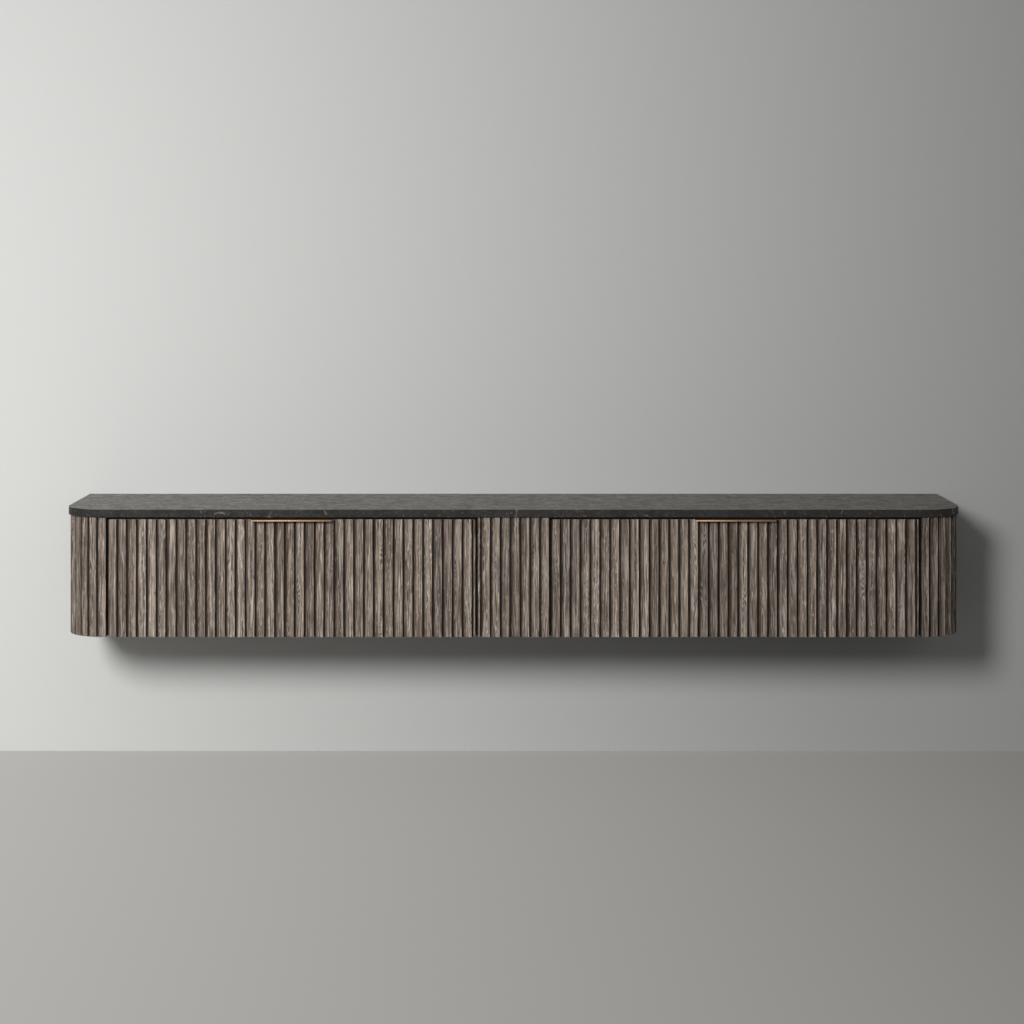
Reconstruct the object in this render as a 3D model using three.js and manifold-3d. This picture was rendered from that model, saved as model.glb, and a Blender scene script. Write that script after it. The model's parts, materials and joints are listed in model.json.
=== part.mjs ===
// Floating media console: a wall-hung cabinet with a stone top, rounded front corners and reeded oak fronts.
// Millimetres, +X to the right, +Y towards the wall, +Z up. The wall is the plane y = 0.
// The origin is the centre of the wall rail's back face, which is where the wall carries the console.

import * as THREE from 'three';
import { mergeVertices } from 'three/addons/utils/BufferGeometryUtils.js';
import Module from 'manifold-3d';

// Overall sizes
const WIDTH = 2489; // stone, end to end
const DEPTH = 457; // stone, wall to front edge
const STONE_THICKNESS = 22;
const STONE_ARRIS = 1.5; // small chamfer round the slab
const STONE_OVERHANG = 5; // stone beyond the slats at the front and ends
const BODY_HEIGHT = 331; // slats of the fixed panels, from their bottom edge to the stone
const CORNER_RADIUS = 115; // rounded front corners, measured on the slat faces
const MIDDLE_WIDTH = 196; // the fixed panel between the two drop fronts

// Slats
const SLAT_PITCH = 27.2;
const GROOVE = 5.5; // between two slats
const END_GROOVE = 7; // the same on the rounded ends, where the slats fan out
const SLAT_DEPTH = 9; // groove floor to slat face
const SLAT_BACKING = 2; // the web that joins the slats behind the grooves
const SLAT_ARRIS = 0.8; // small chamfer at each edge of a slat's face
const SLAT_HOLLOW = 3.3; // depth of the shallow hollow in each slat's face
const HOLLOW_POWER = 2.6; // how flat the hollow is in its middle
const LEAST_STRIP = 3; // a cut strip narrower than this is left on its neighbour

// Boards and gaps
const FRONT_BOARD = 15; // board behind the slats of a drop front
const FRONT_CLEARANCE = 2; // between a shut front and the carcass
const REVEAL = 8; // upright gap at each side of a drop front
const TOP_REVEAL = 6; // gap between a drop front and the stone
const LIP = 10; // how far the fronts hang below the carcass
const CARCASS_BOARD = 18;
const BACK_BOARD = 8;
const WALL_RECESS = 22; // space behind the back board for the rails
const FIT = 0.3; // gap where one curved or sloping piece seats on another

// Rails that hang the console
const RAIL_LENGTH = 2200;
const RAIL_THICKNESS = 18;
const RAIL_HEIGHT = 60;
const BATTEN_HEIGHT = 40;

// Cable ways
const PORT_RADIUS = 30; // hole in the back board
const PORT_HEIGHT = 100; // above the slats' bottom edge
const GROMMET_WALL = 3.5;
const GROMMET_FLANGE = 6;
const GROMMET_FLANGE_THICKNESS = 2;
const DIVIDER_PORT_RADIUS = 25;
const DIVIDER_PORT_FROM_BACK = 60;

// Edge pulls
const PULL_LENGTH = 222;
const PULL_PLATE = 2; // plate thickness
const PULL_SEAT = 22; // plate let into the top edge of a front
const PULL_PROJECTION = 20; // in front of the slat faces
const PULL_LIP = 4; // height of the turned-down edge
const PULL_LIP_THICKNESS = 2;

// Long hinge under each front
const HINGE_INSET = 25; // from each end of a front
const HINGE_KNUCKLES = 11;
const KNUCKLE_GAP = 0.6;
const KNUCKLE_RADIUS = 4.5;
const PIN_RADIUS = 2;
const PIN_CLEARANCE = 0.4;
const LEAF_THICKNESS = 2;
const LEAF_CLEARANCE = 0.6; // leaf edge to the other leaf's knuckles
const CARCASS_LEAF = 30; // width of the leaf under the bottom panel
const AXIS_IN_CLEARANCE = 1; // pin axis behind a front's rear face
const AXIS_BELOW_CARCASS = 5; // pin axis below the carcass

// Flap stays: a parallelogram of hinge axis, bracket pivot, arm-and-link joint and housing pivot
const HOUSING_PIVOT_BACK = 75; // housing pivot from the hinge axis
const BRACKET_PIVOT_BACK = 12; // bracket pivot from the hinge axis, front shut
const BRACKET_PIVOT_UP = 110;
const STAY_HEADROOM = 29; // joint of arm and link below the top panel, front shut
const HOUSING_THICKNESS = 12;
const HOUSING_MARGIN = 18; // housing edge round its pivot
const HOUSING_LENGTH = 95;
const HOUSING_HEIGHT = 46;
const BAR_HALF_WIDTH = 8; // arm, link and bracket lug
const BAR_THICKNESS = 3;
const BAR_GAP = 0.6; // between plates that pass each other
const STAY_PIN_RADIUS = 4;
const STAY_PIN_CLEARANCE = 0.5;
const OPEN_JOINT_CLEARANCE = 0.9; // round the pin where arm and link meet
const STAY_HEAD_RADIUS = 6.5;
const STAY_HEAD_THICKNESS = 1.5;
const BRACKET_BASE_WIDTH = 26;
const BRACKET_BASE_HEIGHT = 50;
const BRACKET_BASE_THICKNESS = 2;

// Magnetic catches
const CATCH_WIDTH = 46;
const CATCH_DEPTH = 16;
const CATCH_HEIGHT = 14;
const CATCH_FROM_EDGE = 160; // catch centre to the end of a front
const STRIKE_WIDTH = 40;
const STRIKE_HEIGHT = 12;
const STRIKE_THICKNESS = 1.2;

// Facets of round shapes
const CORNER_STEPS = 14;
const HOLLOW_STEPS = 6;
const PIN_SIDES = 12;
const HOLE_STEPS = 8;
const BAR_STEPS = 6;
const ROOT = 1; // how far the parts of one piece run into each other before they are joined

// Planes and lines worked out from the sizes
const slatThickness = SLAT_DEPTH + SLAT_BACKING;
const halfBody = WIDTH / 2 - STONE_OVERHANG;
const bodyFront = -(DEPTH - STONE_OVERHANG); // slat faces
const slatBack = bodyFront + slatThickness;
const frontBack = slatBack + FRONT_BOARD; // rear face of a drop front
const carcassFront = frontBack + FRONT_CLEARANCE;
const cornerX = halfBody - CORNER_RADIUS; // centre of a rounded corner
const cornerY = bodyFront + CORNER_RADIUS;
const shellDepth = carcassFront - bodyFront; // slats and bent board together
const frontInner = MIDDLE_WIDTH / 2 + REVEAL; // a front's upright edges
const frontOuter = cornerX - REVEAL;
const frontTop = BODY_HEIGHT - TOP_REVEAL;
const sideInner = cornerX - REVEAL / 2 - CARCASS_BOARD / 2; // side panel face in the bay
const sideOuter = sideInner + CARCASS_BOARD; // a little past the point where the corner starts to turn
const dividerOuter = MIDDLE_WIDTH / 2 + REVEAL / 2 + CARCASS_BOARD / 2; // divider face in the bay
const floorTop = LIP + CARCASS_BOARD;
const ceiling = BODY_HEIGHT - CARCASS_BOARD;
const backFront = -(WALL_RECESS + BACK_BOARD); // back board's face in the bays
const bayCentre = (frontInner + frontOuter) / 2;
const hingeY = frontBack + AXIS_IN_CLEARANCE;
const hingeZ = LIP - AXIS_BELOW_CARCASS;
const railStep = WALL_RECESS - RAIL_THICKNESS; // hanging rail's clearance to the wall
const railBottom = ceiling - 2 * RAIL_HEIGHT + RAIL_THICKNESS - 2 * railStep;
const wallFaceHeight = RAIL_HEIGHT - RAIL_THICKNESS;
const originZ = railBottom + wallFaceHeight / 2;

function finish(color, roughness, metalness) {
  return new THREE.MeshStandardMaterial({ color, roughness, metalness });
}

const stone = finish(0x5f5d59, 0.7, 0);
const slatOak = finish(0x7a6f66, 0.75, 0);
const boardOak = finish(0x4d443c, 0.7, 0);
const railPly = finish(0xb59a72, 0.8, 0);
const brass = finish(0xa98c6a, 0.35, 1);
const steel = finish(0x9a9c9e, 0.35, 1);
const plastic = finish(0x1d1d1e, 0.6, 0);

const console_ = new THREE.Group();
console_.position.z = -originZ;

// Adds a named piece to the console or to one of its moving groups.
function piece(name, geometry, material, parent = console_) {
  const mesh = new THREE.Mesh(geometry, material);
  mesh.name = name;
  parent.add(mesh);
  return mesh;
}

function box(x0, x1, y0, y1, z0, z1) {
  const geometry = new THREE.BoxGeometry(Math.abs(x1 - x0), Math.abs(y1 - y0), Math.abs(z1 - z0));
  return geometry.translate((x0 + x1) / 2, (y0 + y1) / 2, (z0 + z1) / 2);
}

// A plan outline, in x and y, raised between two heights.
function upright(shape, z0, z1) {
  return new THREE.ExtrudeGeometry(shape, { depth: z1 - z0, bevelEnabled: false }).translate(0, 0, z0);
}

// A side outline, in y and z, extended between two places along x.
function crosswise(shape, xA, xB, steps = BAR_STEPS) {
  const x0 = Math.min(xA, xB);
  const depth = Math.abs(xB - xA);
  const geometry = new THREE.ExtrudeGeometry(shape, { depth, bevelEnabled: false, curveSegments: steps });
  const turn = new THREE.Matrix4().makeBasis(
    new THREE.Vector3(0, 1, 0),
    new THREE.Vector3(0, 0, 1),
    new THREE.Vector3(1, 0, 0),
  );
  return geometry.applyMatrix4(turn).translate(x0, 0, 0);
}

function rod(y, z, xA, xB, radius) {
  const geometry = new THREE.CylinderGeometry(radius, radius, Math.abs(xB - xA), PIN_SIDES);
  return geometry.rotateZ(-Math.PI / 2).translate((xA + xB) / 2, y, z);
}

const polygon = (points) => new THREE.Shape(points.map(([a, b]) => new THREE.Vector2(a, b)));

// Cutting and joining
const wasm = await Module();
wasm.setup();

function solid(geometry) {
  const bare = geometry.clone();
  bare.deleteAttribute('normal');
  bare.deleteAttribute('uv');
  const merged = mergeVertices(bare, 1e-4);
  return new wasm.Manifold(
    new wasm.Mesh({
      numProp: 3,
      vertProperties: new Float32Array(merged.attributes.position.array),
      triVerts: new Uint32Array(merged.index.array),
    }),
  );
}

function surface(body) {
  const mesh = body.getMesh();
  const geometry = new THREE.BufferGeometry();
  geometry.setAttribute('position', new THREE.BufferAttribute(mesh.vertProperties, 3));
  geometry.setIndex(new THREE.BufferAttribute(mesh.triVerts, 1));
  geometry.computeVertexNormals();
  return geometry;
}

const join = (geometries) => surface(geometries.map(solid).reduce((sum, next) => sum.add(next)));

function cut(geometry, tools) {
  return surface(tools.map(solid).reduce((left, tool) => left.subtract(tool), solid(geometry)));
}

// Slats laid from the start of a run. What is left at its far end is a cut strip, square where it was cut.
function slatsFrom(width) {
  const whole = Math.floor((width + GROOVE) / SLAT_PITCH);
  const slats = Array.from({ length: whole }, (_, i) => ({
    from: i * SLAT_PITCH,
    to: (i + 1) * SLAT_PITCH - GROOVE,
    squareStart: false,
    squareEnd: false,
  }));
  const rest = width - whole * SLAT_PITCH;
  if (rest >= LEAST_STRIP) {
    slats.push({ from: whole * SLAT_PITCH, to: width, squareStart: false, squareEnd: true });
  } else {
    slats[whole - 1].to = width;
  }
  return slats;
}

// The same run with its cut strip at the start.
function slatsTowards(width) {
  const turned = slatsFrom(width).reverse();
  return turned.map((slat) => ({
    from: width - slat.to,
    to: width - slat.from,
    squareStart: slat.squareEnd,
    squareEnd: slat.squareStart,
  }));
}

// Whole slats only, spread evenly over a run.
function slatsSpread(width) {
  const count = Math.round((width + END_GROOVE) / SLAT_PITCH);
  const pitch = (width + END_GROOVE) / count;
  return Array.from({ length: count }, (_, i) => ({
    from: i * pitch,
    to: (i + 1) * pitch - END_GROOVE,
    squareStart: false,
    squareEnd: false,
  }));
}

// One slat's section as points of distance along the run and depth behind the slat faces.
// The face is a shallow hollow whose depth falls off with a power of the distance from its middle.
function slatSection({ from, to, squareStart, squareEnd }) {
  const arris = Math.min(SLAT_ARRIS, (to - from) / 4);
  const faceFrom = squareStart ? from : from + arris;
  const faceTo = squareEnd ? to : to - arris;
  const hollowDepth = SLAT_HOLLOW * Math.min((to - from) / (SLAT_PITCH - GROOVE), 1) ** 2;
  const face = Array.from({ length: HOLLOW_STEPS + 1 }, (_, i) => {
    const share = i / HOLLOW_STEPS;
    const sunk = hollowDepth * (1 - Math.abs(2 * share - 1) ** HOLLOW_POWER);
    return [faceFrom + (faceTo - faceFrom) * share, sunk];
  });
  const start = squareStart ? [] : [[from, arris]];
  const end = squareEnd ? [] : [[to, arris]];
  return [[from, SLAT_DEPTH], ...start, ...face, ...end, [to, SLAT_DEPTH]];
}

// Outline of a reeded skin: slat sections carried along a run, then back along the web's rear face.
// place(distance, depth) gives a point on the plan, and backPoints is the rear face from end to start.
function reededOutline(slats, place, backPoints) {
  const face = slats.flatMap(slatSection).map(([along, depth]) => place(along, depth));
  return polygon([...face, ...backPoints]);
}

function straightReeding(x0, width, slats) {
  const place = (along, depth) => [x0 + along, bodyFront + depth];
  const rear = [
    [x0 + width, slatBack],
    [x0, slatBack],
  ];
  return reededOutline(slats, place, rear);
}

// An end's run starts at a rounded corner's first point, goes round it and back along the side to the wall.
const arcLength = (CORNER_RADIUS * Math.PI) / 2;
const endRun = arcLength - cornerY;

function endPlace(side, along, depth) {
  const reach = CORNER_RADIUS - depth;
  if (along <= arcLength) {
    const turn = along / CORNER_RADIUS;
    return [side * (cornerX + reach * Math.sin(turn)), cornerY - reach * Math.cos(turn)];
  }
  return [side * (cornerX + reach), cornerY + (along - arcLength)];
}

// The whole run at one depth, from the corner's first point to the wall.
function endLine(side, depth) {
  const corner = Array.from({ length: CORNER_STEPS + 1 }, (_, i) =>
    endPlace(side, (i / CORNER_STEPS) * arcLength, depth),
  );
  return [...corner, endPlace(side, endRun, depth)];
}

// Plan of a board or slab with rounded front corners. inset is measured from the slat faces.
function roundedPlan(inset) {
  const right = endLine(1, inset);
  const left = endLine(-1, inset).reverse();
  return polygon([...left, ...right]);
}

// Stone top
const slabShape = roundedPlan(-STONE_OVERHANG);
const slab = new THREE.ExtrudeGeometry(slabShape, {
  depth: STONE_THICKNESS - 2 * STONE_ARRIS,
  bevelEnabled: true,
  bevelThickness: STONE_ARRIS,
  bevelSize: STONE_ARRIS,
  bevelOffset: -STONE_ARRIS,
  bevelSegments: 1,
});
piece('stone_top', slab.translate(0, 0, BODY_HEIGHT + STONE_ARRIS), stone);

// Carcass: top and bottom panels reach into the rounded ends
const panelPlan = roundedPlan(shellDepth + FIT);
piece('top_panel', upright(panelPlan, ceiling, BODY_HEIGHT), boardOak);
piece('bottom_panel', upright(panelPlan, LIP, floorTop), boardOak);

const backHalf = halfBody - shellDepth - FIT;
const backOutline = polygon([
  [-backHalf, floorTop],
  [backHalf, floorTop],
  [backHalf, ceiling],
  [-backHalf, ceiling],
]);
for (const side of [-1, 1]) {
  backOutline.holes.push(new THREE.Path().absarc(side * bayCentre, PORT_HEIGHT, PORT_RADIUS, 0, 2 * Math.PI));
}
const backBoard = new THREE.ExtrudeGeometry(backOutline, {
  depth: BACK_BOARD,
  bevelEnabled: false,
  curveSegments: HOLE_STEPS,
});
piece('back_panel', backBoard.rotateX(Math.PI / 2).translate(0, -WALL_RECESS, 0), boardOak);

// A side panel's front edge meets the hollow of the bent end board, which has begun to turn there.
const hollow = CORNER_RADIUS - shellDepth;
const facetedHollow = hollow * Math.cos(Math.PI / (4 * CORNER_STEPS));
const sideFront = carcassFront + hollow - Math.sqrt(facetedHollow ** 2 - (sideOuter - cornerX) ** 2) + FIT;

function uprightPanel(side, name, faceInBay, front, throughHole) {
  const outline = polygon([
    [front, floorTop],
    [backFront, floorTop],
    [backFront, ceiling],
    [front, ceiling],
  ]);
  if (throughHole) {
    const holeY = backFront - DIVIDER_PORT_FROM_BACK;
    outline.holes.push(new THREE.Path().absarc(holeY, PORT_HEIGHT, DIVIDER_PORT_RADIUS, 0, 2 * Math.PI));
  }
  const away = throughHole ? -1 : 1;
  const faceBehind = faceInBay + away * CARCASS_BOARD;
  piece(name, crosswise(outline, side * faceInBay, side * faceBehind, HOLE_STEPS), boardOak);
}

function grommet(side, name) {
  const bore = PORT_RADIUS - FIT - GROMMET_WALL;
  const tube = PORT_RADIUS - FIT;
  const profile = [
    [bore, 0],
    [PORT_RADIUS + GROMMET_FLANGE, 0],
    [PORT_RADIUS + GROMMET_FLANGE, GROMMET_FLANGE_THICKNESS],
    [tube, GROMMET_FLANGE_THICKNESS],
    [tube, GROMMET_FLANGE_THICKNESS + BACK_BOARD],
    [bore, GROMMET_FLANGE_THICKNESS + BACK_BOARD],
    [bore, 0],
  ].map(([radius, height]) => new THREE.Vector2(radius, height));
  const ring = new THREE.LatheGeometry(profile, 2 * HOLE_STEPS).rotateY(Math.PI / 2);
  const placed = ring.translate(side * bayCentre, backFront - GROMMET_FLANGE_THICKNESS, PORT_HEIGHT);
  piece(name, placed, plastic);
}

// Rails. Each is bevelled at 45 degrees, so the hanging rail hooks over the wall rail.
const wallRail = polygon([
  [-RAIL_THICKNESS, railBottom],
  [0, railBottom],
  [0, railBottom + wallFaceHeight],
  [-RAIL_THICKNESS, railBottom + RAIL_HEIGHT],
]);
piece('wall_rail', crosswise(wallRail, -RAIL_LENGTH / 2, RAIL_LENGTH / 2), railPly);
const bevelGap = FIT * Math.SQRT2;
const hookFoot = railBottom + wallFaceHeight + railStep + bevelGap;
const hangingRail = polygon([
  [-WALL_RECESS, hookFoot + RAIL_THICKNESS],
  [-railStep, hookFoot],
  [-railStep, ceiling],
  [-WALL_RECESS, ceiling],
]);
piece('hanging_rail', crosswise(hangingRail, -RAIL_LENGTH / 2, RAIL_LENGTH / 2), railPly);
const batten = box(-RAIL_LENGTH / 2, RAIL_LENGTH / 2, -WALL_RECESS, 0, floorTop, floorTop + BATTEN_HEIGHT);
piece('lower_batten', batten, railPly);

// Fixed middle panel
const middleLeft = -MIDDLE_WIDTH / 2;
const middleOutline = straightReeding(middleLeft, MIDDLE_WIDTH, slatsTowards(MIDDLE_WIDTH));
piece('middle_slats', upright(middleOutline, 0, BODY_HEIGHT), slatOak);
piece('middle_board', box(middleLeft, -middleLeft, slatBack, carcassFront, 0, BODY_HEIGHT), boardOak);

// Fixed rounded ends: a bent board with a reeded skin that runs on to the wall
function roundedEnd(side, word) {
  const place = (along, depth) => endPlace(side, along, depth);
  const rear = endLine(side, slatThickness).reverse();
  const skin = reededOutline(slatsSpread(endRun), place, rear);
  piece(`end_slats_${word}`, upright(skin, 0, BODY_HEIGHT), slatOak);
  const outer = endLine(side, slatThickness + FIT);
  const inner = endLine(side, shellDepth).reverse();
  piece(`end_board_${word}`, upright(polygon([...outer, ...inner]), 0, BODY_HEIGHT), boardOak);
}

// One leaf of the long hinge. towards is +1 for the carcass leaf and -1 for the front's leaf.
const hingeLength = frontOuter - frontInner - 2 * HINGE_INSET;
const knuckleStep = hingeLength / HINGE_KNUCKLES;
const leafEdge = KNUCKLE_RADIUS + LEAF_CLEARANCE;

function hingeLeaf(x0, towards, width, firstKnuckle) {
  const top = hingeZ + AXIS_BELOW_CARCASS;
  const bottom = top - LEAF_THICKNESS;
  const edge = hingeY + towards * leafEdge;
  const parts = [box(x0, x0 + hingeLength, edge, hingeY + towards * width, bottom, top)];
  for (let i = firstKnuckle; i < HINGE_KNUCKLES; i += 2) {
    const from = x0 + i * knuckleStep + KNUCKLE_GAP / 2;
    const to = x0 + (i + 1) * knuckleStep - KNUCKLE_GAP / 2;
    parts.push(rod(hingeY, hingeZ, from, to, KNUCKLE_RADIUS));
    parts.push(box(from, to, hingeY + towards * AXIS_IN_CLEARANCE, edge + towards * ROOT, bottom, top));
  }
  const bore = rod(hingeY, hingeZ, x0 - ROOT, x0 + hingeLength + ROOT, PIN_RADIUS + PIN_CLEARANCE);
  return cut(join(parts), [bore]);
}

// An L-shaped edge pull let into the top edge of a front
const pullBack = bodyFront + PULL_SEAT;
const pullFront = bodyFront - PULL_PROJECTION;

function edgePull(centre) {
  const half = PULL_LENGTH / 2;
  const outline = polygon([
    [pullBack, frontTop],
    [pullFront, frontTop],
    [pullFront, frontTop - PULL_LIP],
    [pullFront + PULL_LIP_THICKNESS, frontTop - PULL_LIP],
    [pullFront + PULL_LIP_THICKNESS, frontTop - PULL_PLATE],
    [pullBack, frontTop - PULL_PLATE],
  ]);
  return crosswise(outline, centre - half, centre + half);
}

function pullSeat(centre) {
  const half = PULL_LENGTH / 2 + FIT;
  return box(centre - half, centre + half, pullFront, pullBack + FIT, frontTop - PULL_PLATE, frontTop + ROOT);
}

// Pivots of a flap stay, in y and z, front shut
const meetingHeight = ceiling - STAY_HEADROOM;
const housingPivot = [hingeY + HOUSING_PIVOT_BACK, meetingHeight - BRACKET_PIVOT_UP];
const bracketPivot = [hingeY + BRACKET_PIVOT_BACK, hingeZ + BRACKET_PIVOT_UP];
const meetingPivot = [housingPivot[0] + BRACKET_PIVOT_BACK, meetingHeight];

// A flat bar with round ends from one pivot to another, with a hole at each pivot that has a radius.
function bar(a, b, holes) {
  const along = Math.atan2(b[1] - a[1], b[0] - a[0]);
  const shape = new THREE.Shape();
  shape.absarc(a[0], a[1], BAR_HALF_WIDTH, along + Math.PI / 2, along + 1.5 * Math.PI);
  shape.absarc(b[0], b[1], BAR_HALF_WIDTH, along - Math.PI / 2, along + Math.PI / 2);
  for (const [centre, radius] of holes) {
    shape.holes.push(new THREE.Path().absarc(centre[0], centre[1], radius, 0, 2 * Math.PI));
  }
  return shape;
}

// A headed pin that starts on a plate's face and passes through the next plate.
function headedPin([y, z], x, inward) {
  const shank = BAR_THICKNESS + 2 * BAR_GAP;
  const headFrom = x + inward * shank;
  const pin = rod(y, z, x - inward * ROOT, headFrom + inward * STAY_HEAD_THICKNESS, STAY_PIN_RADIUS);
  const head = rod(y, z, headFrom, headFrom + inward * STAY_HEAD_THICKNESS, STAY_HEAD_RADIUS);
  return [pin, head];
}

// One flap stay on a bay's side wall. inward is the direction from that wall into the bay.
function flapStay(word, wallX, inward, front) {
  const hole = STAY_PIN_RADIUS + STAY_PIN_CLEARANCE;
  const housingFace = wallX + inward * HOUSING_THICKNESS;
  const armFrom = housingFace + inward * BAR_GAP;
  const armFace = armFrom + inward * BAR_THICKNESS;
  const linkFrom = armFace + inward * BAR_GAP;
  const linkFace = linkFrom + inward * BAR_THICKNESS;

  const [y0, z0] = housingPivot.map((place) => place - HOUSING_MARGIN);
  const block = box(wallX, housingFace, y0, y0 + HOUSING_LENGTH, z0, z0 + HOUSING_HEIGHT);
  piece(`stay_housing_${word}`, join([block, ...headedPin(housingPivot, housingFace, inward)]), plastic);

  const armShape = bar(housingPivot, meetingPivot, [[housingPivot, hole]]);
  const arm = crosswise(armShape, armFrom, armFace);
  piece(`stay_arm_${word}`, join([arm, ...headedPin(meetingPivot, armFace, inward)]), steel);

  const openHole = STAY_PIN_RADIUS + OPEN_JOINT_CLEARANCE;
  const linkHoles = [
    [bracketPivot, hole],
    [meetingPivot, openHole],
  ];
  const linkShape = bar(bracketPivot, meetingPivot, linkHoles);
  piece(`stay_link_${word}`, crosswise(linkShape, linkFrom, linkFace), steel);

  const [pivotY, pivotZ] = bracketPivot;
  const lug = new THREE.Shape();
  lug.moveTo(frontBack, pivotZ - BAR_HALF_WIDTH);
  lug.absarc(pivotY, pivotZ, BAR_HALF_WIDTH, -Math.PI / 2, Math.PI / 2);
  lug.lineTo(frontBack, pivotZ + BAR_HALF_WIDTH);
  const baseFrom = pivotZ - BRACKET_BASE_HEIGHT / 2;
  const base = box(
    armFrom,
    armFrom + inward * BRACKET_BASE_WIDTH,
    frontBack,
    frontBack + BRACKET_BASE_THICKNESS,
    baseFrom,
    baseFrom + BRACKET_BASE_HEIGHT,
  );
  const bracket = join([crosswise(lug, armFrom, armFace), base, ...headedPin(bracketPivot, armFace, inward)]);
  piece(`stay_bracket_${word}`, bracket, steel, front);
}

function magneticCatch(word, x, front) {
  const strikeFace = frontBack + STRIKE_THICKNESS;
  const catchFront = strikeFace + FIT;
  const halfCatch = CATCH_WIDTH / 2;
  const block = box(
    x - halfCatch,
    x + halfCatch,
    catchFront,
    catchFront + CATCH_DEPTH,
    ceiling - CATCH_HEIGHT,
    ceiling,
  );
  piece(`magnet_catch_${word}`, block, plastic);
  const strikeZ = ceiling - CATCH_HEIGHT / 2;
  const halfStrike = STRIKE_WIDTH / 2;
  const plate = box(
    x - halfStrike,
    x + halfStrike,
    frontBack,
    strikeFace,
    strikeZ - STRIKE_HEIGHT / 2,
    strikeZ + STRIKE_HEIGHT / 2,
  );
  piece(`catch_strike_${word}`, plate, steel, front);
}

// One drop-down front with everything that moves with it, and the fittings it works against.
function dropFront(side, word) {
  const front = new THREE.Group();
  console_.add(front);
  const edges = [side * frontInner, side * frontOuter].sort((a, b) => a - b);
  const [x0, x1] = edges;
  const centre = (x0 + x1) / 2;
  const width = x1 - x0;
  const seat = pullSeat(centre);

  const slats = upright(straightReeding(x0, width, slatsFrom(width)), 0, frontTop);
  piece(`front_slats_${word}`, cut(slats, [seat]), slatOak, front);
  const board = box(x0, x1, slatBack, frontBack, LIP, frontTop);
  piece(`front_board_${word}`, cut(board, [seat]), boardOak, front);
  piece(`edge_pull_${word}`, edgePull(centre), brass, front);

  const hingeX = x0 + HINGE_INSET;
  const frontLeaf = hingeY - slatBack - FIT;
  piece(`hinge_leaf_carcass_${word}`, hingeLeaf(hingeX, 1, CARCASS_LEAF, 0), steel);
  piece(`hinge_leaf_front_${word}`, hingeLeaf(hingeX, -1, frontLeaf, 1), steel, front);
  piece(`hinge_pin_${word}`, rod(hingeY, hingeZ, hingeX, hingeX + hingeLength, PIN_RADIUS), steel);

  flapStay(`${word}_outer`, side * sideInner, -side, front);
  flapStay(`${word}_inner`, side * dividerOuter, side, front);
  magneticCatch(`${word}_outer`, centre + side * (width / 2 - CATCH_FROM_EDGE), front);
  magneticCatch(`${word}_inner`, centre - side * (width / 2 - CATCH_FROM_EDGE), front);
}

for (const [side, word] of [
  [-1, 'left'],
  [1, 'right'],
]) {
  roundedEnd(side, word);
  uprightPanel(side, `side_panel_${word}`, sideInner, sideFront, false);
  uprightPanel(side, `divider_${word}`, dividerOuter, carcassFront, true);
  grommet(side, `cable_grommet_${word}`);
  dropFront(side, word);
}

export default console_;
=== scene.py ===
"""Floating media console: stone top, rounded ends and reeded oak fronts, hung on a wall.

Metres, +X to the right, +Y towards the wall, +Z up. The wall is the plane y = 0.
"""

import json
import logging
import math
from dataclasses import dataclass, field
from enum import Enum
from typing import Any, ClassVar, Sequence

import bmesh
import bpy
import numpy as np
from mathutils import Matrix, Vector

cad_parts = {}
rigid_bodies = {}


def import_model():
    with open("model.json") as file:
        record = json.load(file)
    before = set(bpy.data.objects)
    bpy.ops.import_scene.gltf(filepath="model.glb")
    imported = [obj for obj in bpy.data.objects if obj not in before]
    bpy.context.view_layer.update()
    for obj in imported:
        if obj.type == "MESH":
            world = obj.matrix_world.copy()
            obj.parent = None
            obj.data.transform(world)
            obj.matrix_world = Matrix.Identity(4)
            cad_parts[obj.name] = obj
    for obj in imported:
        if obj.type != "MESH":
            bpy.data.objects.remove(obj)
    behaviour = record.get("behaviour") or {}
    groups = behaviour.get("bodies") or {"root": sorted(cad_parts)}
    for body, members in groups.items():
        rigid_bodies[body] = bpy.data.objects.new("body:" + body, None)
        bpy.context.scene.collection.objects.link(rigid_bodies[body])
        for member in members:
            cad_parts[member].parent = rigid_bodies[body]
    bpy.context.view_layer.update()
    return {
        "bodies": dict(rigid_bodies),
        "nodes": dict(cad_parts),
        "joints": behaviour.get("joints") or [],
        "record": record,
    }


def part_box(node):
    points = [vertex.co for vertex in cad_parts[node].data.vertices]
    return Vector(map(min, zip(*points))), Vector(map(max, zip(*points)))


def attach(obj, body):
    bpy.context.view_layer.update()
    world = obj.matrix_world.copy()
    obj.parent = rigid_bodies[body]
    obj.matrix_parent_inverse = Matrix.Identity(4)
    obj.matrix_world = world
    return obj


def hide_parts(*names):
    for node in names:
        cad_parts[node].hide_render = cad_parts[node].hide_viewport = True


log = logging.getLogger("console")

Socket = bpy.types.NodeSocket
Rgb = tuple[float, float, float]
Place = tuple[float, float, float]
Point = tuple[float, float]
Pair = tuple[float, float]
Ramp = tuple[float, float, float, float]
QUARTER_TURN = math.pi / 2
SIDES = ("left", "right")
ENDS = ("outer", "inner")


# Colours and node recipes


def colour(*shown: int) -> Rgb:
    """Turns red, green and blue as a screen shows them, 0 to 255, into a shader's linear values."""
    parts = [part / 255 for part in shown]
    return tuple(part / 12.92 if part <= 0.04045 else ((part + 0.055) / 1.055) ** 2.4 for part in parts)


@dataclass(frozen=True)
class Cloud:
    """A noise between 0 and 1.

    Where its scale is one number, a place is moved by the offset and then scaled. Where its scale is a
    factor for each axis, the place is scaled and then moved.
    """

    scale: float | Place
    detail: float = 2.0
    roughness: float = 0.5
    offset: Place | None = None


@dataclass(frozen=True)
class Coat:
    """A colour to lay on. where names the value it follows: none of it at low, the share most at high."""

    where: str
    over: Rgb
    low: float
    high: float
    most: float = 1.0


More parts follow.
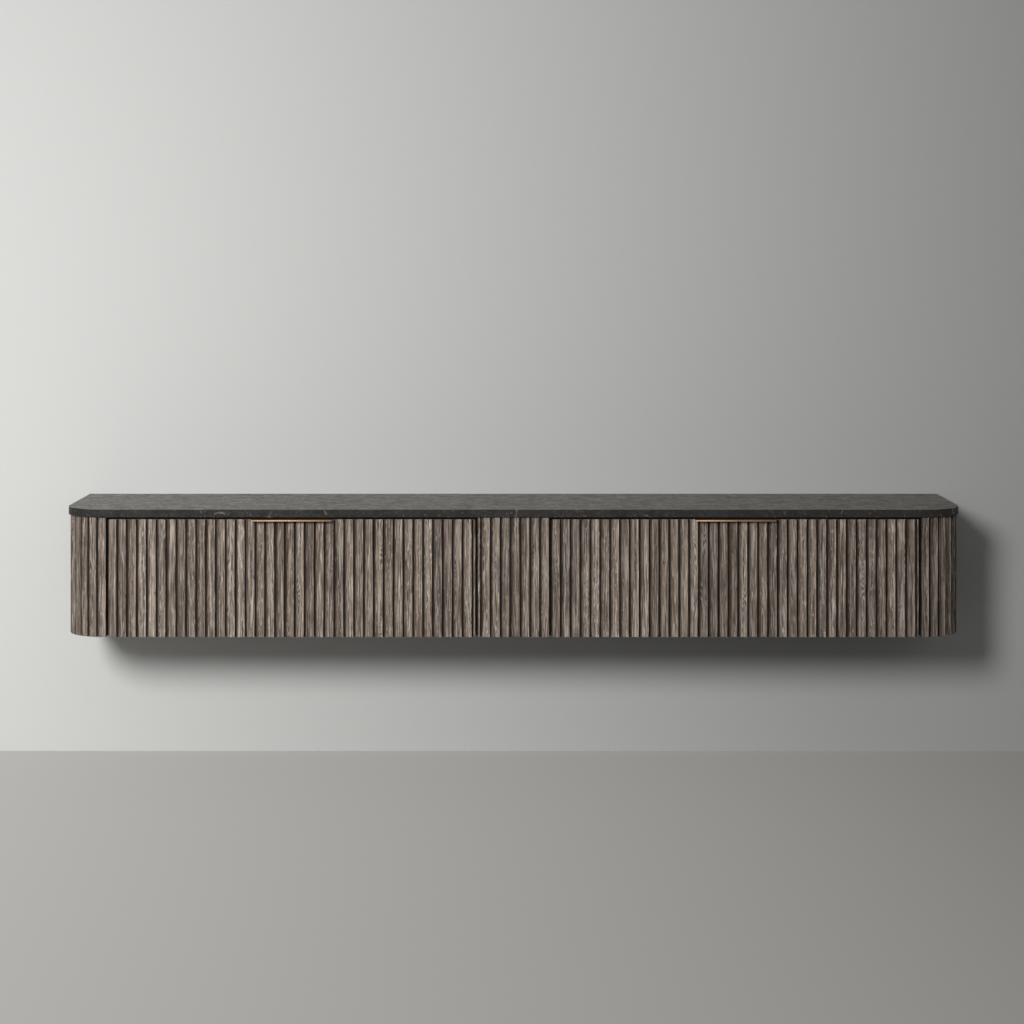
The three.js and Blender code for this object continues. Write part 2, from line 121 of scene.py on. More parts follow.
class Recipe:
    """The node tree of one material while it is being put together."""

    def __init__(self, name: str) -> None:
        """Starts a material with an output and nothing else.

        Args:
            name: Name of the material.
        """
        self.material = bpy.data.materials.new(name)
        self.material.use_nodes = True
        self.tree = self.material.node_tree
        self.tree.nodes.clear()
        self.output = self.tree.nodes.new("ShaderNodeOutputMaterial")

    def node(self, kind: str, values: dict[Any, Any] | None = None, **settings: Any) -> bpy.types.Node:
        """Adds one node.

        Args:
            kind: Blender's name of the node, without ShaderNode in front.
            values: What each input gets, a socket to link or a plain value, by name or number.
            settings: The node's own properties.

        Returns:
            The node.
        """
        made = self.tree.nodes.new(f"ShaderNode{kind}")
        for key, value in settings.items():
            setattr(made, key, value)
        for key, value in (values or {}).items():
            if isinstance(value, Socket):
                self.tree.links.new(value, made.inputs[key])
            else:
                made.inputs[key].default_value = value
        return made

    def place(self) -> Socket:
        """Where a point lies. Every piece's object is at the origin, so this is its place in the model."""
        return self.node("TexCoord").outputs["Object"]

    def mark(self, name: str, output: str = "Fac") -> Socket:
        """A value that the mesh carries at its points."""
        return self.node("Attribute", attribute_name=name, attribute_type="GEOMETRY").outputs[output]

    def stretched(self, vector: Socket, scale: Place) -> Socket:
        """Multiplies a place by one factor for each axis."""
        return self.node("VectorMath", {0: vector, 1: scale}, operation="MULTIPLY").outputs[0]

    def moved(self, vector: Socket, by: Socket | Place) -> Socket:
        """Adds an offset to a place."""
        return self.node("VectorMath", {0: vector, 1: by}, operation="ADD").outputs[0]

    def cloud(self, vector: Socket, cloud: Cloud, output: str = "Fac") -> Socket:
        """The value of a noise at each place.

        Args:
            vector: The place.
            cloud: The noise.
            output: Fac for one value, Color for three.

        Returns:
            The noise's value.
        """
        scale = cloud.scale
        if isinstance(scale, tuple):
            vector, scale = self.stretched(vector, scale), 1.0
        if cloud.offset:
            vector = self.moved(vector, cloud.offset)
        values = {"Vector": vector, "Scale": scale, "Detail": cloud.detail, "Roughness": cloud.roughness}
        return self.node("TexNoise", values).outputs[output]

    def clouds(self, vector: Socket, table: dict[str, Cloud]) -> dict[str, Socket]:
        """All noises of a table at one place."""
        return {name: self.cloud(vector, cloud) for name, cloud in table.items()}

    def maths(self, operation: str, *values: Any) -> Socket:
        """Works one operation on a value alone, or on several from the left."""
        made = self.node("Math", dict(enumerate(values[:2])), operation=operation).outputs[0]
        return self.maths(operation, made, *values[2:]) if len(values) > 2 else made

    def times(self, *values: Any) -> Socket:
        """Multiplies values from the left."""
        return self.maths("MULTIPLY", *values)

    def between(self, value: Socket, low: float, high: float, start: float = 0.0, end: float = 1.0) -> Socket:
        """Maps a value smoothly from the range low to high to the range start to end, and holds it there."""
        values = dict(enumerate((value, low, high, start, end)))
        return self.node("MapRange", values, interpolation_type="SMOOTHSTEP").outputs["Result"]

    def blend(self, share: Any, first: Any, second: Any) -> Socket:
        """Mixes two colours.

        Args:
            share: How much of the second, 0 to 1.
            first: A colour socket, or linear red, green and blue.
            second: The same for the second colour.

        Returns:
            The mixed colour.
        """
        made = self.node("Mix", data_type="RGBA", blend_type="MIX", clamp_result=True)
        for identifier, value in (("Factor_Float", share), ("A_Color", first), ("B_Color", second)):
            place = next(s for s in made.inputs if s.identifier == identifier)
            if isinstance(value, Socket):
                self.tree.links.new(value, place)
            else:
                place.default_value = (*value, 1.0) if isinstance(value, tuple) else value
        return next(s for s in made.outputs if s.identifier == "Result_Color")

    def coated(self, ground: Any, values: dict[str, Socket], coats: Sequence[Coat]) -> Socket:
        """Lays coats on a ground one after another.

        Args:
            ground: The colour below, a socket or linear red, green and blue.
            values: The values that the coats name.
            coats: The coats, the lowest first.

        Returns:
            The colour on top.
        """
        for coat in coats:
            share = self.between(values[coat.where], coat.low, coat.high, 0.0, coat.most)
            ground = self.blend(share, ground, coat.over)
        return ground

    def relief(self, height: Socket, distance: float, strength: float) -> Socket:
        """Turns a height into a bumped normal. distance is the depth in metres of a height of 1."""
        values = {"Height": height, "Distance": distance, "Strength": strength}
        return self.node("Bump", values).outputs["Normal"]

    def surface(self, base: Any, rough: Any, normal: Socket, **others: Any) -> bpy.types.Material:
        """Ends the recipe with one opaque shader.

        Args:
            base: Its colour.
            rough: Its roughness.
            normal: Its bumped normal.
            others: Its further inputs by name, with an underscore for each space.

        Returns:
            The finished material.
        """
        values = {"Base Color": base, "Roughness": rough, "Normal": normal}
        values |= {name.replace("_", " "): value for name, value in others.items()}
        shader = self.node("BsdfPrincipled", values)
        self.tree.links.new(shader.outputs["BSDF"], self.output.inputs["Surface"])
        return self.material


# Finishes


@dataclass(frozen=True)
class WeatheredOak:
    """Brushed grey-brown oak of the slats. The grain runs up the UV map, which is in metres."""

    name: str = "weathered_oak"
    heart: Rgb = colour(135, 120, 108)
    shade: Rgb = colour(80, 68, 59)
    brown: Rgb = colour(104, 86, 72)
    pore: Rgb = colour(40, 31, 25)
    lime: Rgb = colour(196, 184, 172)
    # groove is painted shade: it darkens the grooves, the web behind them, the slats' top ends and their
    # edges.
    groove: Rgb = colour(23, 16, 11)
    seed_shift: Place = (3.0, 7.0, 40.0)
    sway: Cloud = Cloud((20.0, 5.0, 1.0))
    sway_width: float = 0.005
    patch: Cloud = Cloud((30.0, 9.0, 1.0), 1.0)
    # Breaks up the painted shade at the slat edges along the grain.
    ragged_shade: Cloud = Cloud((90.0, 14.0, 1.0))
    ring_lines: float = 170.0
    clouds: ClassVar[dict[str, Cloud]] = {
        "broad": Cloud((60.0, 2.0, 1.0)),
        "streak": Cloud((230.0, 3.5, 1.0), 2.0, 0.55),
        "fibre": Cloud((620.0, 12.0, 1.0), 3.0, 0.6),
        "fine": Cloud((2200.0, 60.0, 1.0), 2.0, 0.6),
        "fleck": Cloud((440.0, 50.0, 1.0)),
        "stained": Cloud((70.0, 7.0, 1.0), offset=(3.0, 1.0, 6.0)),
        "chalk": Cloud((360.0, 5.0, 1.0), 1.0),
        "scratch": Cloud((560.0, 14.0, 1.0), 1.0, offset=(5.0, 9.0, 2.0)),
        "ring": Cloud((46.0, 4.5, 1.0), 1.0, 0.35),
    }
    coats: ClassVar[tuple[Coat, ...]] = (
        Coat("streak", heart, 0.34, 0.62),
        Coat("broad", brown, 0.5, 0.7, 0.6),
        Coat("stained", shade, 0.56, 0.70, 0.45),
        Coat("stained", lime, 0.42, 0.30, 0.2),
        Coat("fibre", shade, 0.55, 0.38, 0.5),
        Coat("fibre", lime, 0.55, 0.68, 0.6),
        Coat("chalk", lime, 0.60, 0.65, 0.4),
        Coat("chalk", pore, 0.42, 0.34, 0.45),
        Coat("scratch", lime, 0.64, 0.67, 0.85),
        Coat("scratch", pore, 0.36, 0.32, 0.7),
    )
    rough: Pair = (0.64, 0.82)

    def material(self) -> bpy.types.Material:
        """Builds the material: the coats, then the figure's lines, lime, pores, tone, and painted shade at
        the slat edges and in the grooves.

        Returns:
            The material of every slat.
        """
        r = Recipe(self.name)
        grain = r.node("UVMap", uv_map="grain").outputs["UV"]
        seed = r.mark("slat_seed", "Color")
        tone, figure, limed = r.node("SeparateColor", {0: seed}).outputs
        place = r.moved(grain, r.stretched(seed, self.seed_shift))
        sway = r.times(r.cloud(place, self.sway), self.sway_width)
        bent = r.moved(place, r.node("CombineXYZ", {0: sway}).outputs[0])
        patch = r.cloud(place, self.patch)
        values = r.clouds(bent, self.clouds)
        wood = r.coated(self.shade, values, self.coats)

        wave = r.maths("SINE", r.times(values["ring"], self.ring_lines))
        shown = r.times(r.between(figure, 0.62, 0.9, 0.12, 1.0), r.between(patch, 0.40, 0.58))
        wood = r.blend(r.times(r.between(wave, 0.0, 0.9), shown, 0.5), wood, self.lime)
        wood = r.blend(r.times(r.between(wave, -0.2, -0.9), shown, 0.35), wood, self.pore)

        fleck = values["fleck"]
        pale = r.times(r.between(fleck, 0.60, 0.70), r.between(limed, 0.2, 0.9, 0.25, 0.85))
        wood = r.blend(pale, wood, self.lime)
        dark = r.times(r.between(fleck, 0.36, 0.28), r.between(patch, 0.4, 0.6, 0.3, 0.9))
        wood = r.blend(dark, wood, self.pore)
        pores = r.between(values["fine"], 0.60, 0.70)
        wood = r.blend(r.times(pores, 0.6), wood, self.pore)

        # Each slat's random tone; on the rounded ends the tones are capped lower, most on the right end, as
        # painted shade.
        level = r.between(tone, 0.0, 1.0, 0.82, 1.20)
        wood = r.node("HueSaturation", {"Value": level, "Color": wood}).outputs[0]
        # Painted shade at the slat edges, heavier at the left edge, ragged along the grain.
        across = r.mark("across")
        left_edge_shade = r.between(across, -0.62, -0.97, 0.0, 0.72)
        right_edge_shade = r.between(across, 0.84, 1.0, 0.0, 0.35)
        ragged_shade = r.between(r.cloud(place, self.ragged_shade), 0.3, 0.7, 0.35, 1.0)
        wood = r.blend(r.times(r.maths("ADD", left_edge_shade, right_edge_shade), ragged_shade), wood, self.groove)
        # Painted shade in the grooves: the deeper a point lies behind the face, the darker.
        wood = r.coated(wood, {"depth": r.mark("depth")}, [Coat("depth", self.groove, 0.0005, 0.0090, 0.93)])

        fibre = values["fibre"]
        raised = r.maths("ADD", r.times(values["streak"], 0.5), r.times(fibre, 0.6))
        sunk = r.maths("ADD", r.times(pores, 0.4), r.times(dark, 0.6))
        normal = r.relief(r.maths("SUBTRACT", raised, sunk), 0.0009, 0.8)
        return r.surface(wood, r.between(fibre, 0.3, 0.7, *self.rough), normal, Specular_IOR_Level=0.3)


@dataclass(frozen=True)
class BoardOak:
    """Dark stained oak veneer of the boards, with the grain along X."""

    name: str = "board_oak"
    light: Rgb = colour(84, 73, 64)
    dark: Rgb = colour(56, 47, 40)
    pore: Rgb = colour(30, 24, 20)
    sway: Cloud = Cloud((1.4, 9.0, 9.0))
    sway_width: float = 0.03
    clouds: ClassVar[dict[str, Cloud]] = {
        "broad": Cloud((2.2, 40.0, 40.0), 3.0, 0.6),
        "fibre": Cloud((14.0, 600.0, 600.0), 3.0, 0.6),
        "pores": Cloud((38.0, 1900.0, 1900.0)),
    }
    coats: ClassVar[tuple[Coat, ...]] = (
        Coat("broad", light, 0.32, 0.68),
        Coat("fibre", dark, 0.6, 0.4, 0.4),
        Coat("pores", pore, 0.6, 0.68, 0.7),
    )
    rough: Pair = (0.53, 0.68)

    def material(self) -> bpy.types.Material:
        """Builds the material of the carcass and boards.

        Returns:
            The material.
        """
        r = Recipe(self.name)
        place = r.place()
        sway = r.times(r.cloud(place, self.sway), self.sway_width)
        bent = r.moved(place, r.node("CombineXYZ", {1: sway, 2: sway}).outputs[0])
        values = r.clouds(bent, self.clouds)
        wood = r.coated(self.dark, values, self.coats)
        fibre = values["fibre"]
        height = r.maths("SUBTRACT", fibre, r.between(values["pores"], 0.6, 0.68, 0.0, 0.7))
        return r.surface(wood, r.between(fibre, 0.3, 0.7, *self.rough), r.relief(height, 0.0003, 0.5))


@dataclass(frozen=True)
class PlyRail:
    """Birch plywood of the rails: pale faces and alternating plies along the depth."""

    name: str = "rail_ply"
    face: Rgb = colour(200, 172, 128)
    cross: Rgb = colour(150, 116, 76)
    ply: float = 0.0015
    rough: float = 0.7
    grain: Cloud = Cloud((8.0, 200.0, 200.0), 3.0, 0.6)

    def material(self) -> bpy.types.Material:
        """Builds the material of the three rails.

        Returns:
            The material.
        """
        r = Recipe(self.name)
        place = r.place()
        depth = r.node("SeparateXYZ", {0: place}).outputs[1]
        wave = r.maths("SINE", r.times(depth, math.pi / self.ply))
        facing = r.node("SeparateXYZ", {0: r.node("NewGeometry").outputs["Normal"]}).outputs[1]
        edge = r.between(r.maths("ABSOLUTE", facing), 0.9, 0.6)
        wood = r.blend(r.times(r.between(wave, -0.2, 0.2), edge), self.face, self.cross)
        grain = r.cloud(place, self.grain)
        wood = r.blend(r.between(grain, 0.3, 0.7, 0.0, 0.4), wood, self.cross)
        return r.surface(wood, self.rough, r.relief(grain, 0.0003, 0.4))


@dataclass(frozen=True)
class HonedStone:
    """Dark honed bluestone with a cloudy ground, pale flecks, a few fine veins, a lighter arris that is part
    scuffs and part painted highlight, and painted shade on its front and sides.
    """

    name: str = "honed_stone"
    dark: Rgb = colour(27, 25, 22)
    light: Rgb = colour(82, 78, 71)
    fleck: Rgb = colour(150, 145, 136)
    vein: Rgb = colour(128, 123, 114)
    clouds: ClassVar[dict[str, Cloud]] = {
        "cloud": Cloud(6.0, 5.0, 0.6),
        "mottle": Cloud(70.0, 4.0, 0.6),
        "grit": Cloud(420.0, 3.0, 0.6),
        "pits": Cloud(260.0),
        "drift": Cloud(22.0, 3.0, 0.6, (0.7, 0.2, 0.1)),
        "bloom": Cloud(15.0, 4.0, 0.65, (0.2, 0.9, 0.4)),
        "speck": Cloud(190.0, 2.0, 0.5, (0.3, 0.1, 0.7)),
    }
    coats: ClassVar[tuple[Coat, ...]] = (
        Coat("drift", dark, 0.58, 0.42, 0.85),
        Coat("mottle", dark, 0.38, 0.60, 0.5),
        Coat("bloom", fleck, 0.52, 0.70, 0.22),
        # Painted shade: the slab's front and sides, which are also rougher, are coated nearly all dark.
        Coat("sawn_and_shaded", dark, 0.3, 1.0, 0.95),
        Coat("grit", fleck, 0.60, 0.74, 0.55),
        Coat("speck", fleck, 0.64, 0.74, 0.5),
    )
    swirl: Cloud = Cloud(3.0, 4.0)
    veins: Cloud = Cloud(2.3)
    vein_width: float = 0.005
    rough: Pair = (0.33, 0.50)
    sawn_rough: float = 0.35

    def material(self) -> bpy.types.Material:
        """Builds the material of the slab: the coats, then broken veins and the lighter arris, part scuffs
        and part painted highlight.

        Returns:
            The material.
        """
        r = Recipe(self.name)
        place = r.place()
        values = r.clouds(place, self.clouds)
        # Marks the slab's front and sides, which are rougher and get painted shade.
        sawn_and_shaded = values["sawn_and_shaded"] = r.mark("sawn_and_shaded")
        mottle, drift = values["mottle"], values["drift"]
        stone = r.blend(r.between(values["cloud"], 0.36, 0.66, 0.25, 1.0), self.dark, self.light)
        stone = r.coated(stone, values, self.coats)

        swirl = r.stretched(r.cloud(place, self.swirl, "Color"), (0.5, 0.5, 0.5))
        veins = r.maths("SUBTRACT", r.cloud(r.moved(place, swirl), self.veins), 0.5)
        thin = r.between(r.maths("ABSOLUTE", veins), 0.0, self.vein_width, 1.0, 0.0)
        stone = r.blend(r.times(thin, r.between(mottle, 0.45, 0.6), 0.7), stone, self.vein)
        # The arris is painted lighter: partly scuffs, partly a painted highlight where light catches the
        # edge.
        edge = r.between(r.mark("edge"), 0.2, 0.9)
        scuff_and_highlight = r.times(edge, r.between(mottle, 0.42, 0.62, 0.15, 0.85))
        stone = r.blend(scuff_and_highlight, stone, self.fleck)

        waves = r.times(mottle, r.between(sawn_and_shaded, 0.1, 0.9, 0.12, 1.0))
        height = r.maths("ADD", waves, r.times(values["grit"], 0.4))
        height = r.maths("SUBTRACT", height, r.between(values["pits"], 0.62, 0.72, 0.0, 0.8))
        rough = r.maths(
            "ADD",
            r.between(mottle, 0.3, 0.7, *self.rough),
            r.between(drift, 0.40, 0.60, -0.06, 0.08),
            r.times(sawn_and_shaded, self.sawn_rough),
        )
        return r.surface(
            stone,
            rough,
            r.relief(height, 0.0008, 0.6),
            Specular_IOR_Level=0.4,
            Sheen_Weight=0.035,
            Sheen_Roughness=0.5,
            Sheen_Tint=(1.0, 0.82, 0.66, 1.0),
        )


@dataclass(frozen=True)
class WornFinish:
    """A plain finish of two near colours: wear mixes them, and a finer noise is felt as relief.

    wear_share is the range of the wear and the range of the share of worn that it becomes.
    """

    name: str
    fresh: Rgb
    worn: Rgb
    wear: Cloud
    wear_share: Ramp
    fine: Cloud
    rough: Pair
    depth: float
    strength: float = 0.5
    metallic: float = 1.0
    rough_follows_wear: bool = True

    def material(self) -> bpy.types.Material:
        """Builds the material.

        Returns:
            The material.
        """
        r = Recipe(self.name)
        place = r.place()
        wear, fine = r.cloud(place, self.wear), r.cloud(place, self.fine)
        base = r.blend(r.between(wear, *self.wear_share), self.fresh, self.worn)
        rough = r.between(wear if self.rough_follows_wear else fine, 0.3, 0.7, *self.rough)
        return r.surface(base, rough, r.relief(fine, self.depth, self.strength), Metallic=self.metallic)


@dataclass(frozen=True)
class AgedBrass(WornFinish):
    """Brushed brass of the edge pulls, brushed along X, a little browned."""

    name: str = "aged_brass"
    fresh: Rgb = colour(184, 152, 124)
    worn: Rgb = colour(138, 110, 86)
    wear: Cloud = Cloud((14.0, 60.0, 60.0), 3.0, 0.55)
    wear_share: Ramp = (0.3, 0.8, 0.15, 0.55)
    fine: Cloud = Cloud((60.0, 6000.0, 6000.0), 2.0, 0.6)
    rough: Pair = (0.46, 0.62)
    depth: float = 0.00004
    rough_follows_wear: bool = False


@dataclass(frozen=True)
class NickelSteel(WornFinish):
    """Nickel-plated steel of hinges, stays and strikes."""

    name: str = "nickel_steel"
    fresh: Rgb = colour(142, 140, 137)
    worn: Rgb = colour(106, 104, 101)
    wear: Cloud = Cloud(70.0, 4.0, 0.6)
    wear_share: Ramp = (0.35, 0.75, 0.0, 1.0)
    fine: Cloud = Cloud((90.0, 900.0, 900.0), 2.0, 0.6)
    rough: Pair = (0.5, 0.64)
    depth: float = 0.00005


@dataclass(frozen=True)
class BlackPlastic(WornFinish):
    """Moulded black plastic of grommets, housings, catches and gap stops, with a fine sparked texture."""

    name: str = "black_plastic"
    fresh: Rgb = colour(34, 34, 35)
    worn: Rgb = colour(52, 52, 53)
    wear: Cloud = Cloud(50.0, 3.0, 0.6)
    wear_share: Ramp = (0.5, 0.8, 0.0, 1.0)
    fine: Cloud = Cloud(1800.0)
    rough: Pair = (0.45, 0.6)
    depth: float = 0.0001
    strength: float = 0.6
    metallic: float = 0.0


class Finish(Enum):
    """The record's material slots and the finish that each one gets."""

    STONE = "stone"
    SLAT_OAK = "slat_oak"
    BOARD_OAK = "board_oak"
    RAIL_PLY = "rail_ply"
    BRASS = "brass"
    STEEL = "steel"
    PLASTIC = "plastic"


@dataclass
class Paints:
    """Makes each finish once and hands it out by slot."""

    made: dict[Finish, bpy.types.Material] = field(default_factory=dict)
    makers: ClassVar[dict[Finish, type]] = {
        Finish.STONE: HonedStone,
        Finish.SLAT_OAK: WeatheredOak,
        Finish.BOARD_OAK: BoardOak,
        Finish.RAIL_PLY: PlyRail,
        Finish.BRASS: AgedBrass,
        Finish.STEEL: NickelSteel,
        Finish.PLASTIC: BlackPlastic,
    }

    def get(self, finish: Finish) -> bpy.types.Material:
        """Gives the material of a slot, made on first use.

        Args:
            finish: The slot.

        Returns:
            The material.
        """
        if finish not in self.made:
            self.made[finish] = self.makers[finish]().material()
        return self.made[finish]


# Meshes from arrays


def make_mesh(
    name: str,
    points: np.ndarray,
    faces: Sequence[np.ndarray],
    grain: np.ndarray | None = None,
    marks: dict[str, np.ndarray] | None = None,
    sharp: float = 35.0,
) -> bpy.types.Object:
    """Puts arrays of points and faces into a mesh object at the origin.

    Args:
        name: The piece's name.
        points: Corners, one row of x, y and z each.
        faces: Arrays of corner numbers, one array for each number of sides.
        grain: A UV pair for each corner, in metres.
        marks: Further values for each corner by name, one number or a colour of three.
        sharp: Edges that turn by more than this many degrees stay sharp.

    Returns:
        The object.
    """
    mesh = bpy.data.meshes.new(name)
    corners = np.concatenate([part.ravel() for part in faces]).astype(np.int32)
    sides = np.concatenate([np.full(len(part), part.shape[1]) for part in faces])
    starts = np.concatenate([[0], np.cumsum(sides)[:-1]]).astype(np.int32)
    mesh.vertices.add(len(points))
    mesh.vertices.foreach_set("co", points.astype(np.float32).ravel())
    mesh.loops.add(len(corners))
    mesh.loops.foreach_set("vertex_index", corners)
    mesh.polygons.add(len(sides))
    mesh.polygons.foreach_set("loop_start", starts)
    mesh.update(calc_edges=True)
    if grain is not None:
        layer = mesh.uv_layers.new(name="grain")
        layer.data.foreach_set("uv", grain[corners].astype(np.float32).ravel())
    for mark, values in (marks or {}).items():
        plain = values.ndim == 1
        attribute = mesh.attributes.new(mark, "FLOAT" if plain else "FLOAT_COLOR", "POINT")
        full = values if plain else np.column_stack([values, np.ones(len(values))])
        attribute.data.foreach_set("value" if plain else "color", full.astype(np.float32).ravel())
    mesh.validate()
    return make_object(name, mesh, sharp)


def make_object(name: str, mesh: bpy.types.Mesh, sharp: float) -> bpy.types.Object:
    """Shades a mesh and puts it at the origin.

    Args:
        name: The object's name.
        mesh: The mesh.
        sharp: Edges that turn by more than this many degrees stay sharp.

    Returns:
        The object.
    """
    mesh.polygons.foreach_set("use_smooth", np.ones(len(mesh.polygons), dtype=bool))
    mesh.set_sharp_from_angle(angle=math.radians(sharp))
    made = bpy.data.objects.new(name, mesh)
    bpy.context.scene.collection.objects.link(made)
    return made


def tube_faces(rows: int, around: int, tubes: int = 1, first: int = 0) -> list[np.ndarray]:
    """Faces of closed tubes whose points lie row by row, capped at both ends.

    Each quad joins a point to the next one round and to the row after, so a loop that runs
    anticlockwise seen from the last row faces outwards.

    Args:
        rows: Number of loops in a tube.
        around: Points in each loop.
        tubes: Number of tubes.
        first: Number of the first point.

    Returns:
        The quads and the end caps.
    """
    numbers = first + np.arange(tubes * rows * around).reshape(tubes, rows, around)
    here, there = numbers[:, :-1], numbers[:, 1:]
    here_next, there_next = np.roll(here, -1, axis=2), np.roll(there, -1, axis=2)
    quads = np.stack([here, here_next, there_next, there], axis=-1).reshape(-1, 4)
    return [quads, np.stack([numbers[:, 0, ::-1], numbers[:, -1]], axis=1).reshape(-1, around)]


def ring_box(low: Point, high: Point, draw: float) -> list[Point]:
    """The corners of a rectangle drawn in on all sides, anticlockwise."""
    left, right, near, far = low[0] + draw, high[0] - draw, low[1] + draw, high[1] - draw
    return [(left, near), (right, near), (right, far), (left, far)]


def wander(count: int, steps: int, rng: np.random.Generator) -> np.ndarray:
    """A smooth random line round a closed loop: steps random values joined by cosine ramps.

    Args:
        count: Number of values to give.
        steps: Number of random values round the loop.
        rng: Source of the random values.

    Returns:
        Values between -1 and 1.
    """
    knots = rng.uniform(-1, 1, steps)
    at = np.arange(count) * steps / count
    low = np.floor(at).astype(int)
    share = (1 - np.cos(np.pi * (at - low))) / 2
    return knots[low % steps] * (1 - share) + knots[(low + 1) % steps] * share


@dataclass
class Piece:
    """A piece of the model, the body it moves with, its finish and the CAD node it stands for, if any."""

    name: str
    body: str
    finish: Finish
    node: str = ""

    def shape(self) -> bpy.types.Object:
        """Makes the bare piece. Each kind of piece has its own way."""
        raise NotImplementedError

    def build(self, paints: Paints) -> bpy.types.Object:
        """Args:
            paints: The finishes.

        Returns:
            The new piece.
        """
        made = self.shape()
        made.data.materials.append(paints.get(self.finish))
        if self.node:
            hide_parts(self.node)
        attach(made, self.body)
        return made


# The outside of the body


@dataclass(frozen=True)
class BodyPlan:
    """Plan and heights that the reeded skins and the stone share."""

    half_width: float = 1.2395
    front: float = -0.452
    corner_radius: float = 0.115
    bottom: float = -0.224
    height: float = 0.331
    front_top: float = 0.101
    pitch: float = 0.0272
    groove: float = 0.0055
    end_groove: float = 0.007
    slat_depth: float = 0.009
    backing: float = 0.002

    @property
    def top(self) -> float:
        """Height of the slats under the stone."""
        return self.bottom + self.height

    @property
    def corner_x(self) -> float:
        """Distance of a rounded corner's centre from the middle."""
        return self.half_width - self.corner_radius

    @property
    def corner_y(self) -> float:
        """Depth of a rounded corner's centre."""
        return self.front + self.corner_radius

    @property
    def end_run(self) -> float:
        """Length of a rounded end along its face, from the front to the wall."""
        return self.corner_radius * QUARTER_TURN - self.corner_y

    def run(self, side: int, along: np.ndarray, depth: float) -> np.ndarray:
        """Points on the plan of a rounded end: round the corner, then straight back to the wall.

        Args:
            side: -1 for the left end, 1 for the right end.
            along: Distance from the corner's first point, measured on the slat faces.
            depth: Distance behind the slat faces.

        Returns:
            One row of x and y for each distance.
        """
        reach = self.corner_radius - depth
        turn = np.minimum(along / self.corner_radius, QUARTER_TURN)
        past = np.maximum(along - self.corner_radius * QUARTER_TURN, 0)
        x = side * (self.corner_x + reach * np.sin(turn))
        return np.stack([x, self.corner_y - reach * np.cos(turn) + past], axis=-1)


PLAN = BodyPlan()


@dataclass
class Slats:
    """Places of the slats of one skin: each one's middle, direction across, width and cut ends."""

    middle: np.ndarray
    across: np.ndarray
    width: np.ndarray
    square: np.ndarray


